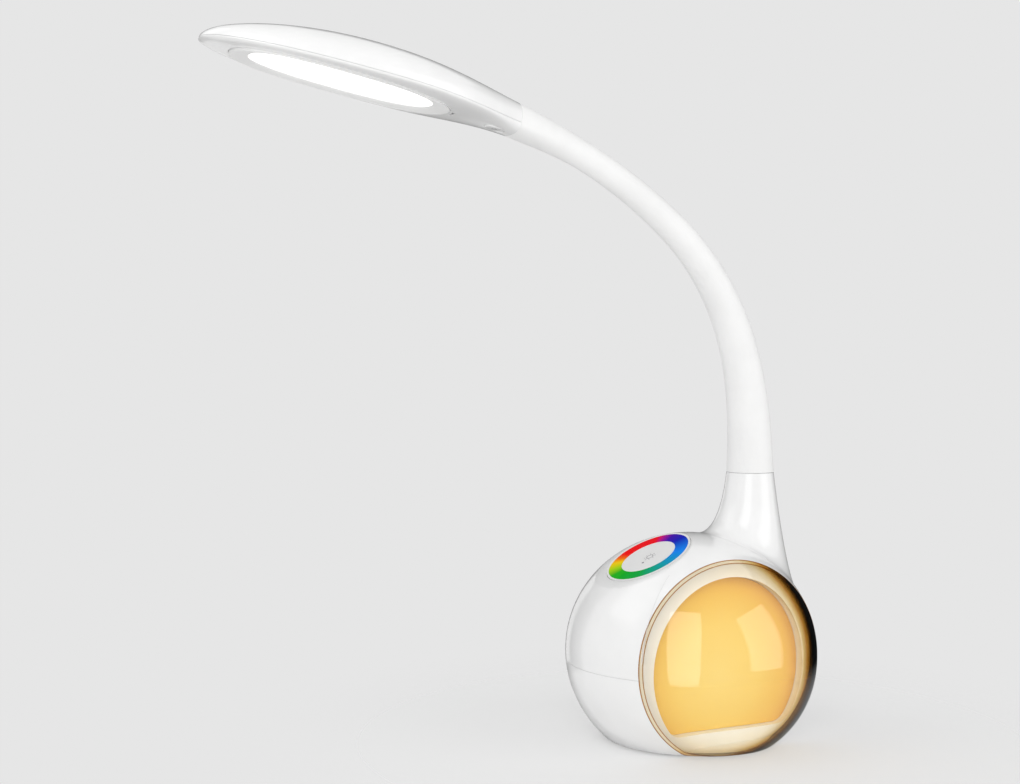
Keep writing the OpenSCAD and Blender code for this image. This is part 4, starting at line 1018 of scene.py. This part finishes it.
world = bpy.data.worlds.new("studio")
bpy.context.scene.world = world
world.use_nodes = True
tree = world.node_tree
lit = tree.nodes["Background"]
feed(lit, "Color", (1, 1, 1, 1))
feed(lit, "Strength", 0.60)
shown = add_node(tree, "Background", Color=ground, Strength=1.0)
mix_to(tree.nodes["World Output"], seen_ray(tree), lit, shown)

ground_finish, tree, shader = new_finish("studio floor", Base_Color=(0.93, 0.93, 0.93, 1), Roughness=0.9)
far_off = ramp(tree, distance_from(tree, (0, 0, 0), (1 / 1000, 1 / 1000, 0)),
               [(0.08, grey(0.45)), (0.26, grey(1.0))], "EASE")
share = add_node(tree, "Math", far_off, seen_ray(tree), operation="MULTIPLY")
plain = add_node(tree, "BsdfTransparent", Color=(1, 1, 1, 1))
mix_to(tree.nodes["Material Output"], share.outputs[0], shader, plain)
floor_r = np.linspace(0, 3000, 12)
floor_mesh = block_mesh("studio_floor", turned([(r, 0) for r in floor_r]))
floor_mesh.materials.append(ground_finish)
studio_floor = new_object("studio_floor", floor_mesh)
print("floor radius", floor_r[-1] * MM, "m")

# %% [markdown]
# Two large soft boxes stand where the dome's reflections say they stood: a tall one behind the
# camera and a wide one to its right. A third, weaker one high on the left lifts the shoulder and the
# touch field. Their strengths were balanced against the tones of the ball, the neck and the head.

# %% Soft boxes
def softbox(name, azimuth, elevation, distance, width, height, watts, target=(-0.02, 0, 0.12)):
    """An area light on a sphere round the lamp. Azimuth 0 is the front, 90 the right."""
    a, e = np.radians(azimuth), np.radians(elevation)
    away = Vector((np.sin(a) * np.cos(e), -np.cos(a) * np.cos(e), np.sin(e)))
    light = new_object(name, bpy.data.lights.new(name, "AREA"))
    light.data.shape, light.data.size, light.data.size_y = "RECTANGLE", width, height
    light.data.energy = watts
    light.location = Vector(target) + away * distance
    light.rotation_euler = (-away).to_track_quat("-Z", "Y").to_euler()
    light.visible_camera = False
    print(f"{name}: {watts} W, {width} x {height} m, {distance} m away")


softbox("tall soft box", -39, 14, 1.3, 0.72, 1.8, 7.6)
softbox("wide soft box", 38, 12, 1.3, 0.85, 1.2, 4.6)
softbox("left soft box", -110, 48, 1.4, 0.8, 1.2, 2.8)

# %% [markdown]
# A dark card stands behind the lamp, where a photographer puts one to draw the edges of a white
# object. Only gloss and glass see it. It gives the head its grey upper line and the dome its deep
# right edge. A window in it, a little to the left, keeps the head's underside pale: its place and
# height were matched to the photograph. It's part of the studio.

# %% Dark card
card_r = 1500.0


def card_part(from_deg, to_deg, low, high, cols=16):
    """Part of an upright drum round the lamp: azimuths across, heights up."""
    a = np.radians(np.linspace(from_deg, to_deg, cols))
    return xyz(card_r * np.sin(a), -card_r * np.cos(a), np.array([low, high], float)[:, None])


parts = [card_part(86, 165, -2500, 1600), card_part(165, 184, 450, 1400),
         card_part(165, 184, -2500, -300), card_part(184, 212, -400, 1600)]
card_mesh = joined_mesh("dark_card", parts, loop_cols=False)
card_finish = moulded("card black", (0.004, 0.004, 0.004), (0.008, 0.008, 0.008), (0.9, 1.0), 0.0)
card_mesh.materials.append(card_finish)
dark_card = new_object("dark_card", card_mesh)
dark_card.visible_camera = dark_card.visible_diffuse = dark_card.visible_shadow = False
print("dark cards from 86 to 212 degrees, with a window at 165 to 184 for the head's underside")
bpy.context.scene.view_settings.view_transform = "Standard"
